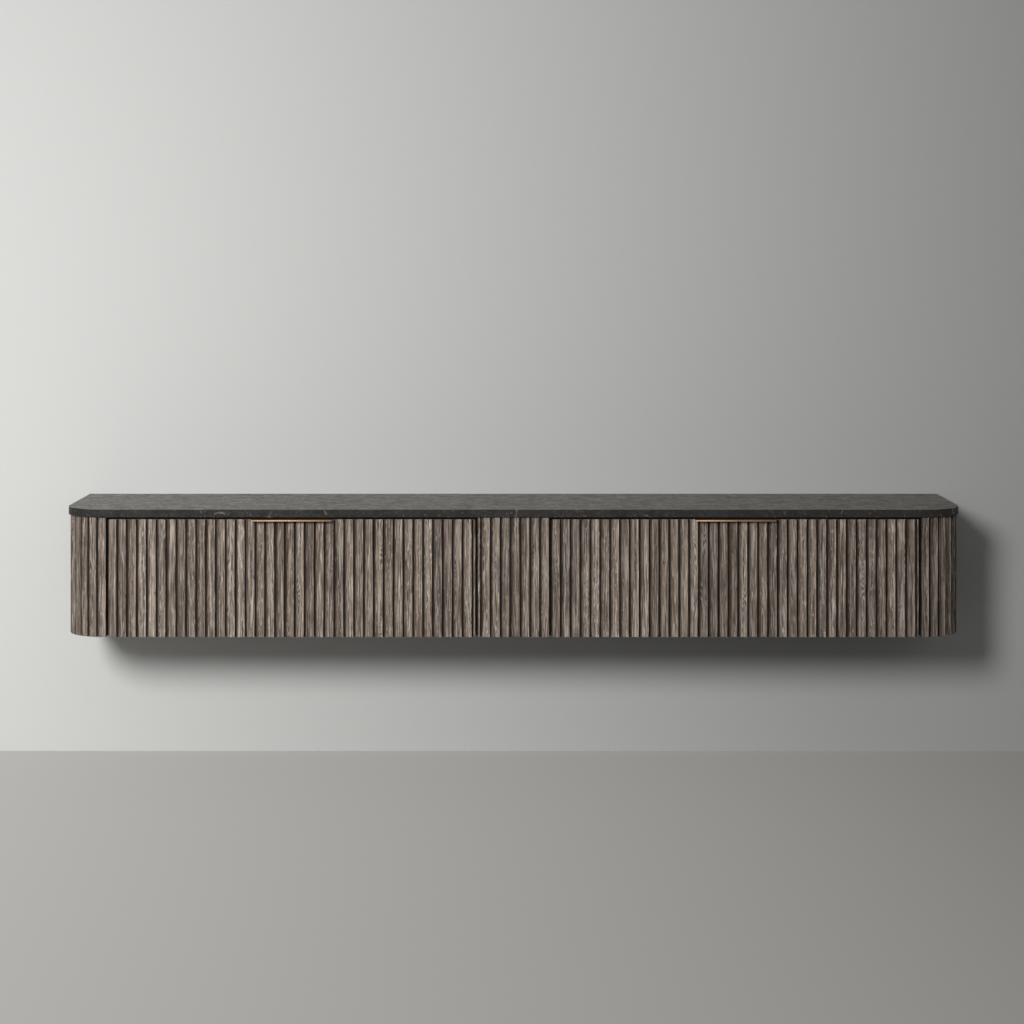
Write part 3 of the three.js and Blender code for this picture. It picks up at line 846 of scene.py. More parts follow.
@dataclass
class ReededSkin(Piece):
    """A row of solid oak slats on a thin web, built slat by slat.

    A slat is a loop of points carried up its height: up one side, over a small round arris,
    across a slightly hollow face, over the other arris and down the other side. pull names the edge pull
    that is let into a drop front.
    """

    seed: int = 0
    pull: str = ""
    arris: float = 0.0008
    hollow: float = 0.0033
    hollow_power: float = 2.6
    end_round: float = 0.0006
    narrower: float = 0.0002
    width_spread: Pair = (-0.0004, 0.0003)
    proudest: float = 0.0006
    short_of_back: float = 0.0005
    cut_arris: float = 0.15
    edge_wander: float = 0.00012
    # Depth at which the painted shade is full; the slats' top ends and the web get it.
    painted_shade_depth: float = 0.01
    seat_gap: float = 0.0003
    seat_depth: float = 0.002
    seat_reach: float = 0.005
    first_rows: Pair = (0.0015, 0.01)
    split: float = 0.002
    web_tone: float = 0.4
    # Cap on the slats' tones; the rounded ends get a lower one as painted shade.
    painted_shade_tone_cap: float = 1.0
    rows: int = 14

    def slats(self) -> Slats:
        """Works out where the slats stand. Each kind of skin has its own way."""
        raise NotImplementedError

    def web_outline(self) -> np.ndarray:
        """The plan of the thin web behind the slats. Each kind of skin has its own way."""
        raise NotImplementedError

    @property
    def top(self) -> float:
        """Height of the slats' top ends. A drop front, which has a pull, stops short of the stone."""
        return PLAN.front_top if self.pull else PLAN.top

    def seat(self) -> Pair | None:
        """Finds where along x a front's pull is let into the slats.

        Returns:
            The two ends of the cut, or None for a skin without a pull.
        """
        if not self.pull:
            return None
        low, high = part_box(self.pull)
        return low[0] - self.seat_gap, high[0] + self.seat_gap

    def section(self, slats: Slats, rng: np.random.Generator) -> tuple[np.ndarray, np.ndarray]:
        """Loops of all slats: place across the slat and depth behind the face.

        The face is a shallow hollow, hollow * (1 - (a / h) ** power) deep at the distance a from the middle
        of a half face h, and each arris is a quarter circle.

        Args:
            slats: The slats' places.
            rng: Source of the small differences between slats.

        Returns:
            Two arrays with a row for each slat and a column for each point of the loop.
        """
        count = len(slats.width)
        deep = PLAN.slat_depth + PLAN.backing - self.short_of_back
        half = ((slats.width - self.narrower) / 2 + rng.uniform(*self.width_spread, count))[:, None]
        proud = rng.uniform(0.0, self.proudest, count)[:, None]
        angle = np.linspace(0, QUARTER_TURN, 5)
        corner_in = self.arris * (1 - np.cos(angle))
        corner_deep = self.arris * (1 - np.sin(angle))
        keep = np.where(slats.square, self.cut_arris, 1.0)
        left, right = keep[:, :1], keep[:, 1:]
        left_a, left_d = -half + corner_in * left, corner_deep * left
        right_a, right_d = half - corner_in[::-1] * right, corner_deep[::-1] * right
        split = self.split_share(slats)[:, None]
        even = np.tile(np.concatenate([[0.03], np.linspace(0.08, 0.92, 11), [0.97]]), (count, 1))
        share = np.sort(np.concatenate([even, split - self.split, split + self.split], axis=1), axis=1)
        inner_left, inner_right = left_a[:, -1:], right_a[:, :1]
        face_a = inner_left + (inner_right - inner_left) * share
        scale = np.minimum(slats.width / (PLAN.pitch - PLAN.groove), 1.0)[:, None] ** 2
        face_d = self.hollow * (1 - np.abs(2 * share - 1) ** self.hollow_power) * scale
        side_d = np.full((count, 1), deep)
        a = np.concatenate([-half, -half, left_a, face_a, right_a, half, half], axis=1)
        d = np.concatenate([side_d, side_d / 2, left_d, face_d, right_d, side_d / 2, side_d], axis=1)
        return a, d + proud * (d < deep * 0.4)

    def split_share(self, slats: Slats) -> np.ndarray:
        """Where each face gets two close points, as a share of its width. A pull's seat may end there.

        Args:
            slats: The slats' places.

        Returns:
            One share for each slat.
        """
        share = np.full(len(slats.width), 0.5)
        for edge in self.seat() or ():
            at = (edge - (slats.middle[:, 0] - slats.width / 2)) / slats.width
            share = np.where((at > 0) & (at < 1), at, share)
        return share

    def heights(self) -> tuple[np.ndarray, np.ndarray]:
        """Height of each row of points over the foot, and how far the row draws in to round the ends.

        Returns:
            The heights and the draws.
        """
        tall = self.top - PLAN.bottom
        ends = np.array([0.0, 0.3, 1.0]) * self.end_round
        first, second = self.first_rows
        inner = np.concatenate([[first], np.linspace(second, tall - second, self.rows), [tall - first]])
        draws = np.concatenate([ends[::-1], np.zeros(len(inner)), ends])
        return np.concatenate([ends, inner, tall - ends[::-1]]), draws

    def edge_waves(self, count: int, rows: int, rng: np.random.Generator) -> np.ndarray:
        """How far each slat's edges wander along its height: random steps smoothed over three rows.

        Args:
            count: Number of slats.
            rows: Number of rows of points.
            rng: Source of the random steps.

        Returns:
            A row for each slat.
        """
        rough = rng.normal(0, self.edge_wander, (count, rows))
        smooth = (np.roll(rough, 1, axis=1) + rough + np.roll(rough, -1, axis=1)) / 3
        smooth[:, :4] = smooth[:, -4:] = 0
        return smooth

    def shape(self) -> bpy.types.Object:
        """Works out every point of the slats as whole arrays and joins the web to them.

        A point is the slat's middle + across * a - outwards * d on the plan, raised to the row's height.

        Returns:
            The bare skin, with its grain and with the marks slat_seed, depth and across; depth and across
            place the painted shade of the grooves and the slat edges.
        """
        rng = np.random.default_rng(self.seed)
        slats = self.slats()
        a, d = self.section(slats, rng)
        count, around = a.shape
        heights, draws = self.heights()
        rows = len(heights)
        half = np.abs(a).max(axis=1)[:, None, None]
        deep = d.max()
        wave = self.edge_waves(count, rows, rng)
        draw = draws[None, :, None]
        edge = np.clip((np.abs(a)[:, None, :] / half - 0.5) * 2, 0, 1)
        a_all = a[:, None, :] * (half - draw) / half + np.sign(a)[:, None, :] * edge * wave[:, :, None]
        d_all = draw + d[:, None, :] * (deep - draw) / deep
        outwards = np.stack([slats.across[:, 1], -slats.across[:, 0]], axis=-1)
        flat = (
            slats.middle[:, None, None, :]
            + slats.across[:, None, None, :] * a_all[..., None]
            - outwards[:, None, None, :] * d_all[..., None]
        )
        z = np.broadcast_to(PLAN.bottom + heights[None, :, None], (count, rows, around)).copy()
        if self.pull:
            low, high = self.seat()
            under = (flat[..., 0] > low) & (flat[..., 0] < high) & (z > self.top - self.seat_reach)
            z[under] -= self.seat_depth
        points = np.concatenate([flat, z[..., None]], axis=-1).reshape(-1, 3)

        step = np.hypot(np.diff(a, axis=1), np.diff(d, axis=1))
        length = np.concatenate([np.zeros((count, 1)), np.cumsum(step, axis=1)], axis=1)
        grain = np.stack([np.broadcast_to(length[:, None, :], z.shape), z], axis=-1).reshape(-1, 2)
        # Random tones; the first is capped lower on the rounded ends as painted shade.
        tones = rng.uniform(0, 1, (count, 3)) * (self.painted_shade_tone_cap, 1.0, 1.0)
        # Painted shade: the slats' sides darken with depth behind the face, and their top ends, under the
        # stone, are dark all over.
        beside = np.abs(a) > half[:, :, 0] - self.arris * 0.7
        painted_groove_shade = np.broadcast_to(np.where(beside, d, 0.0)[:, None, :], z.shape).copy()
        painted_groove_shade[:, -1:] = self.painted_shade_depth

        loop = self.web_outline()
        web_top = self.top - (self.seat_depth if self.pull else 0.0)
        ends = [np.column_stack([loop, np.full(len(loop), height)]) for height in (PLAN.bottom, web_top)]
        web = np.concatenate(ends)
        quads, caps = tube_faces(rows, around, count)
        web_quads, web_caps = tube_faces(2, len(loop), 1, len(points))
        marks = {
            "slat_seed": np.repeat(tones, rows * around, axis=0),
            "depth": painted_groove_shade.ravel(),
            "across": np.broadcast_to(a[:, None, :] / half, z.shape).ravel(),
        }
        # The web behind the slats gets the full painted shade.
        for mark, value in (("slat_seed", [self.web_tone] * 3), ("depth", self.painted_shade_depth), ("across", 0.0)):
            marks[mark] = np.concatenate([marks[mark], np.repeat([value], len(web), axis=0)])
        return make_mesh(
            self.name,
            np.concatenate([points, web]),
            [np.concatenate([quads, web_quads]), caps, web_caps],
            np.concatenate([grain, web[:, [0, 2]]]),
            marks,
        )


@dataclass
class StraightSkin(ReededSkin):
    """A flat run of slats, laid at the pitch from one end of its CAD node, with a cut strip at the other."""

    cut_first: bool = False

    def slats(self) -> Slats:
        """Whole slats at the pitch and one cut strip in what is left.

        Returns:
            Their places.
        """
        low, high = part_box(self.node)
        width = high[0] - low[0]
        whole = int((width + PLAN.groove) // PLAN.pitch)
        left = np.arange(whole + 1) * PLAN.pitch
        wide = np.append(np.full(whole, PLAN.pitch - PLAN.groove), width - whole * PLAN.pitch)
        square = np.zeros((whole + 1, 2), dtype=bool)
        square[-1, 1] = True
        if self.cut_first:
            left = (width - left - wide)[::-1]
            wide = wide[::-1]
            square = square[::-1, ::-1]
        middle = np.stack([low[0] + left + wide / 2, np.full(whole + 1, PLAN.front)], axis=-1)
        return Slats(middle, np.tile([1.0, 0.0], (whole + 1, 1)), wide, square)

    def web_outline(self) -> np.ndarray:
        """Lays a flat strip behind the slats.

        Returns:
            The plan of the web.
        """
        low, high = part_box(self.node)
        face = PLAN.front + PLAN.slat_depth
        return np.array(ring_box((low[0], face), (high[0], face + PLAN.backing), 0.0))


@dataclass
class RoundedSkin(ReededSkin):
    """Whole slats round a front corner and back along the side to the wall."""

    side: int = 1
    count: int = 19
    sunk: float = 0.0002

    def slats(self) -> Slats:
        """Slats spread evenly, each one flat and square to the body's outline at its middle.

        Returns:
            Their places.
        """
        pitch = (PLAN.end_run + PLAN.end_groove) / self.count
        wide = pitch - PLAN.end_groove
        centre = np.arange(self.count) * pitch + wide / 2
        turn = np.minimum(centre / PLAN.corner_radius, QUARTER_TURN)
        middle = PLAN.run(self.side, centre, self.sunk)
        across = np.stack([np.cos(turn), self.side * np.sin(turn)], axis=-1)
        return Slats(middle, across, np.full(self.count, wide), np.zeros((self.count, 2), dtype=bool))

    def web_outline(self) -> np.ndarray:
        """A bent strip behind the slats: the run at two depths, joined into one outline.

        Returns:
            One row of x and y for each corner.
        """
        along = np.append(np.linspace(0, PLAN.corner_radius * QUARTER_TURN, 33), PLAN.end_run)
        outer = PLAN.run(self.side, along, PLAN.slat_depth)
        inner = PLAN.run(self.side, along, PLAN.slat_depth + PLAN.backing)[::-1]
        return np.concatenate([outer, inner])[:: self.side]


def skins() -> list[ReededSkin]:
    """The reeded skins, each with a seed of its own.

    Returns:
        The middle panel, the two drop fronts and the two rounded ends.
    """
    oak = Finish.SLAT_OAK
    middle = StraightSkin("middle_slats_oak", "cabinet", oak, "middle_slats", 21, cut_first=True)
    made: list[ReededSkin] = [middle]
    # The last column caps the ends' tones as painted shade, the right end darker.
    rows = zip(SIDES, (-1, 1), (31, 32), (41, 42), (0.65, 0.2))
    for word, side, front_seed, end_seed, painted_shade_tone_cap in rows:
        front, end, pull = f"front_slats_{word}", f"end_slats_{word}", f"edge_pull_{word}"
        made.append(StraightSkin(f"{front}_oak", f"front_{word}", oak, front, front_seed, pull))
        made.append(RoundedSkin(f"{end}_oak", "cabinet", oak, end, end_seed, painted_shade_tone_cap=painted_shade_tone_cap, side=side))
    return made


@dataclass
class StoneTop(Piece):
    """The slab: a closed outline carried over its edge, with an arris that is worn and lightly chipped."""

    name: str = "stone_slab"
    body: str = "cabinet"
    finish: Finish = Finish.STONE
    node: str = "stone_top"
    overhang: float = 0.005
    thickness: float = 0.022
    arris: float = 0.0006
    spacing: float = 0.003
    seed: int = 11
    wear: Pair = (0.15, 0.20)
    chip_from: float = 0.84
    chip_growth: float = 5.0
    sawn_to: float = 0.0045
    rim: Pair = (0.0026, 0.0028)
    wall_band: float = 0.004

    def outline(self) -> tuple[np.ndarray, np.ndarray]:
        """The slab's plan as points about a spacing apart, with the way outwards at each.

        The plan is a rectangle whose two front corners are quarter circles. At a square rear corner the
        way outwards is the sum of its two sides' ways, so that a line drawn in by any amount stays square.

        Returns:
            Points and outward directions, anticlockwise seen from above.
        """
        half = PLAN.half_width + self.overhang
        radius = PLAN.corner_radius + self.overhang
        front = PLAN.front - self.overhang
        cx, cy = half - radius, front + radius
        runs = [
            self.straight((-cx, front), (cx, front), (0.0, -1.0)),
            self.corner((cx, cy), radius, -QUARTER_TURN),
            self.straight((half, cy), (half, 0.0), (1.0, 0.0)),
            self.straight((half, 0.0), (-half, 0.0), (0.0, 1.0)),
            self.straight((-half, 0.0), (-half, cy), (-1.0, 0.0)),
            self.corner((-cx, cy), radius, math.pi),
        ]
        line, way = (np.concatenate(part) for part in zip(*runs))
        rear = line[:, 1] > -1e-6
        for side in (1.0, -1.0):
            way[rear & (line[:, 0] * side > half - 1e-6)] = (side, 1.0)
        return line, way

    def straight(self, start: Point, end: Point, way: Point) -> tuple[np.ndarray, np.ndarray]:
        """Walks along one straight side of the slab.

        Args:
            start: Where the side begins.
            end: Where it ends, which the next side brings.
            way: The way outwards.

        Returns:
            The points, without the last, and the way outwards at each.
        """
        steps = max(int(math.dist(start, end) / self.spacing), 1)
        share = np.arange(steps)[:, None] / steps
        return np.array(start) * (1 - share) + np.array(end) * share, np.tile(way, (steps, 1))

    def corner(self, centre: Point, radius: float, start: float) -> tuple[np.ndarray, np.ndarray]:
        """Walks round one quarter circle, anticlockwise.

        Args:
            centre: Middle of the circle.
            radius: Its radius.
            start: The angle that it begins at.

        Returns:
            The points, without the last, and the way outwards at each.
        """
        steps = int(radius * QUARTER_TURN / self.spacing)
        turn = start + np.arange(steps) / steps * QUARTER_TURN
        way = np.stack([np.cos(turn), np.sin(turn)], axis=-1)
        return np.array(centre) + radius * way, way

    def shape(self) -> bpy.types.Object:
        """Makes the slab as rings of the outline, each drawn in and raised by its own amount.

        The upper arris is a quarter circle whose size wanders along the edge, with a chip here and there.

        Returns:
            The bare slab, with the mark edge and the mark of its rougher, painted-shade front and sides.
        """
        rng = np.random.default_rng(self.seed)
        line, way = self.outline()
        count = len(line)
        at_wall = line[:, 1] > -self.wall_band
        slow, quick = self.wear
        worn = 1 + slow * wander(count, count // 9, rng) + quick * wander(count, count // 3, rng)
        chips = np.clip(wander(count, count // 4, rng) - self.chip_from, 0, None) * self.chip_growth
        size = self.arris * np.where(at_wall, 0.5, worn + chips)
        foot = self.arris * 0.5
        bottom, top = PLAN.top, PLAN.top + self.thickness
        # Each ring's inset and height, and its marks: edge for the arris, and the mark of the front and
        # sides, which are rougher and painted in shade.
        ring_shapes = [
            (foot * 1.5, bottom, 0.0, 1.0),
            (foot, bottom, 0.0, 1.0),
            (foot * 0.3, bottom + foot * 0.3, 0.2, 1.0),
            (0.0, bottom + foot, 0.0, 1.0),
            (0.0, bottom + foot * 2, 0.0, 1.0),
            (0.0, top - self.sawn_to, 0.0, 1.0),
            (0.0, top - size * 1.3, 0.1, 1.0),
        ]
        for turn in np.linspace(0, QUARTER_TURN, 5):
            ring_shapes.append((size * (1 - math.cos(turn)), top - size * (1 - math.sin(turn)), 1.0, 0.5))
        ring_shapes += [(np.minimum(size * 1.25, self.rim[0]), top, 0.3, 0.0), (self.rim[1], top, 0.0, 0.0)]
        rings = []
        for inset, height, _, _ in ring_shapes:
            drawn = line - way * np.broadcast_to(inset, count)[:, None]
            rings.append(np.column_stack([drawn, np.broadcast_to(height, count)]))
        edge, sawn_and_shaded = (np.repeat([shape[at] for shape in ring_shapes], count) for at in (2, 3))
        faces = tube_faces(len(rings), count)
        marks = {"edge": edge, "sawn_and_shaded": sawn_and_shaded}
        return make_mesh(self.name, np.concatenate(rings), faces, marks=marks, sharp=50.0)


@dataclass
class EdgePull(Piece):
    """A folded brass edge pull: a flat plate let into a front's top edge with a turned-down lip."""

    plate: float = 0.002
    lip: float = 0.004
    edge: float = 0.0004
    fold: float = 0.0016
    end_draw: float = 0.00024

    def section(self, back: float, front: float, top: float) -> np.ndarray:
        """The pull's section as points of y and z, each corner rounded to a small quarter circle.

        Args:
            back: Rear edge of the plate.
            front: Face of the lip.
            top: Upper face of the plate.

        Returns:
            A closed loop.
        """
        inner = front + self.plate
        corners = [
            (back, top, self.edge),
            (front, top, self.fold),
            (front, top - self.lip, self.edge),
            (inner, top - self.lip, self.edge),
            (inner, top - self.plate, self.edge),
            (back, top - self.plate, self.edge),
        ]
        loop: list[np.ndarray] = []
        turn = np.linspace(0, QUARTER_TURN, 5)[:, None]
        for number, (y, z, radius) in enumerate(corners):
            here = np.array([y, z])
            before = np.array(corners[number - 1][:2]) - here
            after = np.array(corners[(number + 1) % len(corners)][:2]) - here
            before, after = before / np.linalg.norm(before), after / np.linalg.norm(after)
            centre = here + radius * (before + after)
            loop.append(centre - radius * (after * np.cos(turn) + before * np.sin(turn)))
        return np.concatenate(loop)

    def shape(self) -> bpy.types.Object:
        """Makes the pull in the box of its CAD node, with slightly eased ends.

        Returns:
            The bare pull.
        """
        low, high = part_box(self.node)
        loop = self.section(high[1], low[1], high[2])
        middle = loop.mean(axis=0)
        way = (loop - middle) / np.linalg.norm(loop - middle, axis=1)[:, None]
        draw = self.end_draw
        ends = ((low[0], draw), (low[0] + self.edge, 0.0), (high[0] - self.edge, 0.0), (high[0], draw))
        rings = [np.column_stack([np.full(len(loop), x), loop - way * drawn]) for x, drawn in ends]
        return make_mesh(self.name, np.concatenate(rings), tube_faces(len(rings), len(loop)), sharp=40.0)


# Boards and fittings that keep their CAD shape


@dataclass
class EasedPiece(Piece):
    """A rigid piece with its CAD shape and small rounded edges, like a sanded board or a pressed fitting."""

    source: bpy.types.Object | None = None
    ease: float = 0.0005
    sharp: float = 50.0

    def shape(self) -> bpy.types.Object:
        """Copies the node's mesh, merges its loose triangles, joins flat faces and rounds the edges.

        Returns:
            The bare piece.
        """
        mesh = self.source.data.copy()
        mesh.name = self.name
        form = bmesh.new()
        form.from_mesh(mesh)
        bmesh.ops.remove_doubles(form, verts=form.verts, dist=1e-6)
        bmesh.ops.dissolve_limit(form, angle_limit=math.radians(0.5), verts=form.verts, edges=form.edges)
        bent = [edge for edge in form.edges if edge.calc_face_angle(0.0) > math.radians(self.sharp)]
        bmesh.ops.bevel(
            form,
            geom=bent,
            offset=self.ease,
            offset_type="OFFSET",
            segments=2,
            profile=0.5,
            affect="EDGES",
            clamp_overlap=True,
        )
        form.to_mesh(mesh)
        form.free()
        mesh.materials.clear()
        made = make_object(self.name, mesh, self.sharp)
        made.modifiers.new("flat_faces", "WEIGHTED_NORMAL").keep_sharp = True
        return made


@dataclass(frozen=True)
class Carcass:
    """Boards, rails and fittings, by the finish and the edge rounding that each gets."""

    finishes: ClassVar[dict[str, tuple[Finish, float]]] = {
        "top_panel": (Finish.BOARD_OAK, 0.0006),
        "bottom_panel": (Finish.BOARD_OAK, 0.0006),
        "back_panel": (Finish.BOARD_OAK, 0.0004),
        "side_panel_": (Finish.BOARD_OAK, 0.0006),
        "divider_": (Finish.BOARD_OAK, 0.0006),
        "_board": (Finish.BOARD_OAK, 0.0006),
        "wall_rail": (Finish.RAIL_PLY, 0.0008),
        "hanging_rail": (Finish.RAIL_PLY, 0.0008),
        "lower_batten": (Finish.RAIL_PLY, 0.0008),
        "hinge_": (Finish.STEEL, 0.0003),
        "catch_strike_": (Finish.STEEL, 0.0003),
        "stay_arm_": (Finish.STEEL, 0.0004),
        "stay_link_": (Finish.STEEL, 0.0004),
        "stay_bracket_": (Finish.STEEL, 0.0004),
        "cable_grommet_": (Finish.PLASTIC, 0.0005),
        "magnet_catch_": (Finish.PLASTIC, 0.001),
        "stay_housing_": (Finish.PLASTIC, 0.0012),
    }

    def pieces(self, frame: dict[str, Any]) -> list[EasedPiece]:
        """An eased piece for every CAD node whose name has one of the words.

        Args:
            frame: The loaded CAD model.

        Returns:
            The pieces, not yet built.
        """
        nodes, bodies = frame["nodes"], frame["record"]["behaviour"]["bodies"]
        homes = {node: body for body, names in bodies.items() for node in names}
        return [
            EasedPiece(f"{name}_eased", homes[name], finish, name, nodes[name], ease)
            for word, (finish, ease) in self.finishes.items()
            for name in sorted(nodes)
            if word in name
        ]


@dataclass
class Screws(Piece):
    """Cross-head screws of one body: shallow domes with a cross pressed into each.

    rings are the shares of the radius at which a head's rings lie, and rim_rise is how far the second one
    stands proud. seats are the heads' places, the ways that they face, their radii and their heights.
    """

    finish: Finish = Finish.STEEL
    around: int = 32
    rings: tuple[float, ...] = (1.0, 0.985, 0.9, 0.75, 0.58, 0.5, 0.36, 0.22, 0.12)
    cross_width: float = 0.14
    cross_reach: float = 0.55
    cross_depth: float = 0.6
    rim_rise: float = 0.12
    seats: list[tuple[Place, Place, float, float]] = field(default_factory=list)

    def add(self, place: Place, way: Place, radius: float, height: float) -> None:
        """Notes one screw: the middle of its seat, the way it faces, its radius and its height."""
        self.seats.append((place, way, radius, height))

    def shape(self) -> bpy.types.Object:
        """Makes all the heads as one mesh.

        A head is a disc of rings. At the share s of its radius it stands height * (1 - s ** 4) proud, less
        the cross, where both |x| or |y| is under the cross's width and s is under its reach.

        Returns:
            The bare heads.
        """
        rings = np.array(self.rings)[:, None]
        turn = np.arange(self.around) * 2 * math.pi / self.around
        x, y = rings * np.cos(turn), rings * np.sin(turn)
        slot = np.minimum(np.abs(x), np.abs(y)) < self.cross_width
        rise = 1 - rings**4 - self.cross_depth * (slot & (rings < self.cross_reach))
        rise[0], rise[1] = 0.0, self.rim_rise
        flat = np.stack([x, y, rise], axis=-1).reshape(-1, 3)[None]
        places, out, sizes, heights = (np.array(part, dtype=float) for part in zip(*self.seats))
        beside = np.where(np.abs(out[:, 2:]) > 0.5, [[1.0, 0.0, 0.0]], [[0.0, 0.0, 1.0]])
        across = np.cross(out, beside)
        size = sizes[:, None, None]
        points = (
            places[:, None, :]
            + beside[:, None, :] * flat[..., 0:1] * size
            + across[:, None, :] * flat[..., 1:2] * -size
            + out[:, None, :] * flat[..., 2:3] * heights[:, None, None]
        ).reshape(-1, 3)
        faces = tube_faces(len(rings), self.around, len(self.seats))
        return make_mesh(self.name, points, faces, sharp=40.0)


@dataclass
class PolePlates(Piece):
    """Two thin steel strips that show at a magnetic catch's face, drawn in at the front.

    magnet is the catch's CAD node, and stations are the depths of a strip's rings behind the face, with
    how far each ring is drawn in.
    """

    finish: Finish = Finish.STEEL
    magnet: str = ""
    apart: float = 0.0032
    half_length: float = 0.017
    half_thickness: float = 0.0008
    stations: tuple[Pair, ...] = ((0.004, 0.0), (-0.0001, 0.0), (-0.00018, 0.0001))

    def shape(self) -> bpy.types.Object:
        """Makes both strips as one mesh, each of rings of x and z.

        Returns:
            The bare strips.
        """
        low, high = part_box(self.magnet)
        x, middle = (low[0] + high[0]) / 2, (low[2] + high[2]) / 2
        loops = []
        for z in (middle - self.apart, middle + self.apart):
            foot = (x - self.half_length, z - self.half_thickness)
            head = (x + self.half_length, z + self.half_thickness)
            for depth, draw in self.stations:
                loops += [(a, low[1] + depth, b) for a, b in ring_box(foot, head, draw)]
        return make_mesh(self.name, np.array(loops), [np.concatenate(tube_faces(len(self.stations), 4, 2))])


@dataclass
class GapStops(Piece):
    """Small black blocks under the bottom panel, which keep light out of the foot of each upright gap.

    A block starts behind the fixed slats beside the gap and stops just short of the drop front.
    """

    name: str = "gap_stops"
    body: str = "cabinet"
    finish: Finish = Finish.PLASTIC
    behind: float = 0.004
    clear: float = 0.001
    depth: float = 0.03
    eased: float = 0.0005

    def gaps(self) -> list[Point]:
        """Finds the two sides of each of the four gaps.

        Returns:
            The x of the fixed edge and of the drop front's edge, gap by gap.
        """
        nodes = ("middle_slats", "front_slats_left", "front_slats_right")
        middle, left, right = (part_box(node) for node in nodes)
        inner = [(middle[0][0], left[1][0]), (middle[1][0], right[0][0])]
        return [(-PLAN.corner_x, left[0][0]), *inner, (PLAN.corner_x, right[1][0])]

    def shape(self) -> bpy.types.Object:
        """Makes the blocks as one mesh, each a box drawn in at its foot.

        Returns:
            The bare blocks.
        """
        low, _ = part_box("bottom_panel")
        foot = PLAN.bottom + self.eased
        front, back = low[1] + self.eased, low[1] + self.depth
        loops = []
        for fixed, moving in self.gaps():
            way = math.copysign(1.0, moving - fixed)
            start, end = sorted((fixed - way * self.behind, moving - way * self.clear))
            for z, draw in ((foot, self.eased), (foot + self.eased, 0.0), (low[2], 0.0)):
                loops += [(x, y, z) for x, y in ring_box((start, front), (end, back), draw)]
        return make_mesh(self.name, np.array(loops), [np.concatenate(tube_faces(3, 4, 4))])


@dataclass(frozen=True)
class Hardware:
    """The small pieces that the solids leave out: screws, pole plates and gap stops."""

    plate: float = 0.002
    stay_screw: Pair = (0.0034, 0.0008)
    leaf_screw: Pair = (0.0028, 0.0006)
    strike_screw: Pair = (0.003, 0.00015)
    bracket_in: float = 0.018
    bracket_up: float = 0.017
    housing_in: float = 0.012
    housing_edge: float = 0.008
    hinge_screws: int = 10
    leaf_behind: ClassVar[dict[str, float]] = {"carcass": 0.019, "front": -0.0098}

    def pieces(self) -> list[Piece]:
        """The small pieces of both fronts and of the cabinet.

        Returns:
            The pieces, not yet built.
        """
        pieces: list[Piece] = []
        cabinet = Screws("cabinet_screws", "cabinet")
        for side in SIDES:
            front = Screws(f"front_screws_{side}", f"front_{side}")
            for end in ENDS:
                self.stay_screws(cabinet, front, side, end)
                low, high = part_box(f"catch_strike_{side}_{end}")
                middle = (low + high) / 2
                front.add((middle[0], high[1], middle[2]), (0.0, 1.0, 0.0), *self.strike_screw)
                magnet = f"magnet_catch_{side}_{end}"
                pieces.append(PolePlates(f"pole_plates_{side}_{end}", "cabinet", magnet=magnet))
            for screws, kind in ((cabinet, "carcass"), (front, "front")):
                self.leaf_screws(screws, kind, side)
            pieces.append(front)
        return [*pieces, cabinet, GapStops()]

    def stay_screws(self, cabinet: Screws, front: Screws, side: str, end: str) -> None:
        """Two screws in a stay's bracket and three in its housing, on the side that faces the bay.

        Args:
            cabinet: The cabinet's screws, which get the housing's.
            front: The front's screws, which get the bracket's.
            side: left or right.
            end: outer or inner.
        """
        way = 1 if (side == "left") == (end == "outer") else -1
        low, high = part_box(f"stay_bracket_{side}_{end}")
        x = (low[0] if way > 0 else high[0]) + way * self.bracket_in
        middle = (low[2] + high[2]) / 2
        for up in (-self.bracket_up, self.bracket_up):
            front.add((x, low[1] + self.plate, middle + up), (0.0, 1.0, 0.0), *self.stay_screw)
        low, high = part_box(f"stay_housing_{side}_{end}")
        x = (low[0] if way > 0 else high[0]) + way * self.housing_in
        near, far = low[1] + self.housing_edge, high[1] - self.housing_edge
        foot, head = low[2] + self.housing_edge, high[2] - self.housing_edge
        for y, z in ((near, head), (far, foot), (far, head)):
            cabinet.add((x, y, z), (float(way), 0.0, 0.0), *self.stay_screw)

    def leaf_screws(self, screws: Screws, kind: str, side: str) -> None:
        """A row of screws that face down along a hinge leaf, at a fixed distance from its pin.

        Args:
            screws: The screws of the leaf's body.
            kind: carcass or front.
            side: left or right.
        """
        _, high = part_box(f"hinge_leaf_{kind}_{side}")
        pin_low, pin_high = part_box(f"hinge_pin_{side}")
        line = (pin_low[1] + pin_high[1]) / 2 + self.leaf_behind[kind]
        for share in (np.arange(self.hinge_screws) + 0.5) / self.hinge_screws:
            x = pin_low[0] * (1 - share) + pin_high[0] * share
            screws.add((x, line, high[2] - self.plate), (0.0, 0.0, -1.0), *self.leaf_screw)


# Wall, floor, light and camera


@dataclass(frozen=True)
class Lamp:
    """A round soft lamp: where it hangs, what it faces, its diameter, its watts and its angle in degrees."""

    name: str
    place: Place
    aim: Place
    size: float
    power: float
    spread: float

    def hang(self) -> None:
        """Hangs the lamp and turns it to its aim."""
        light = bpy.data.lights.new(self.name, "AREA")
        light.shape = "DISK"
        light.size = self.size
        light.spread = math.radians(self.spread)
        light.energy = self.power
        hung = bpy.data.objects.new(self.name, light)
        hung.location = self.place
        x, y, z = np.array(self.aim) - np.array(self.place)
        hung.rotation_euler = (math.atan2(math.hypot(x, y), -z), 0.0, math.atan2(y, x) - QUARTER_TURN)
        bpy.context.scene.collection.objects.link(hung)


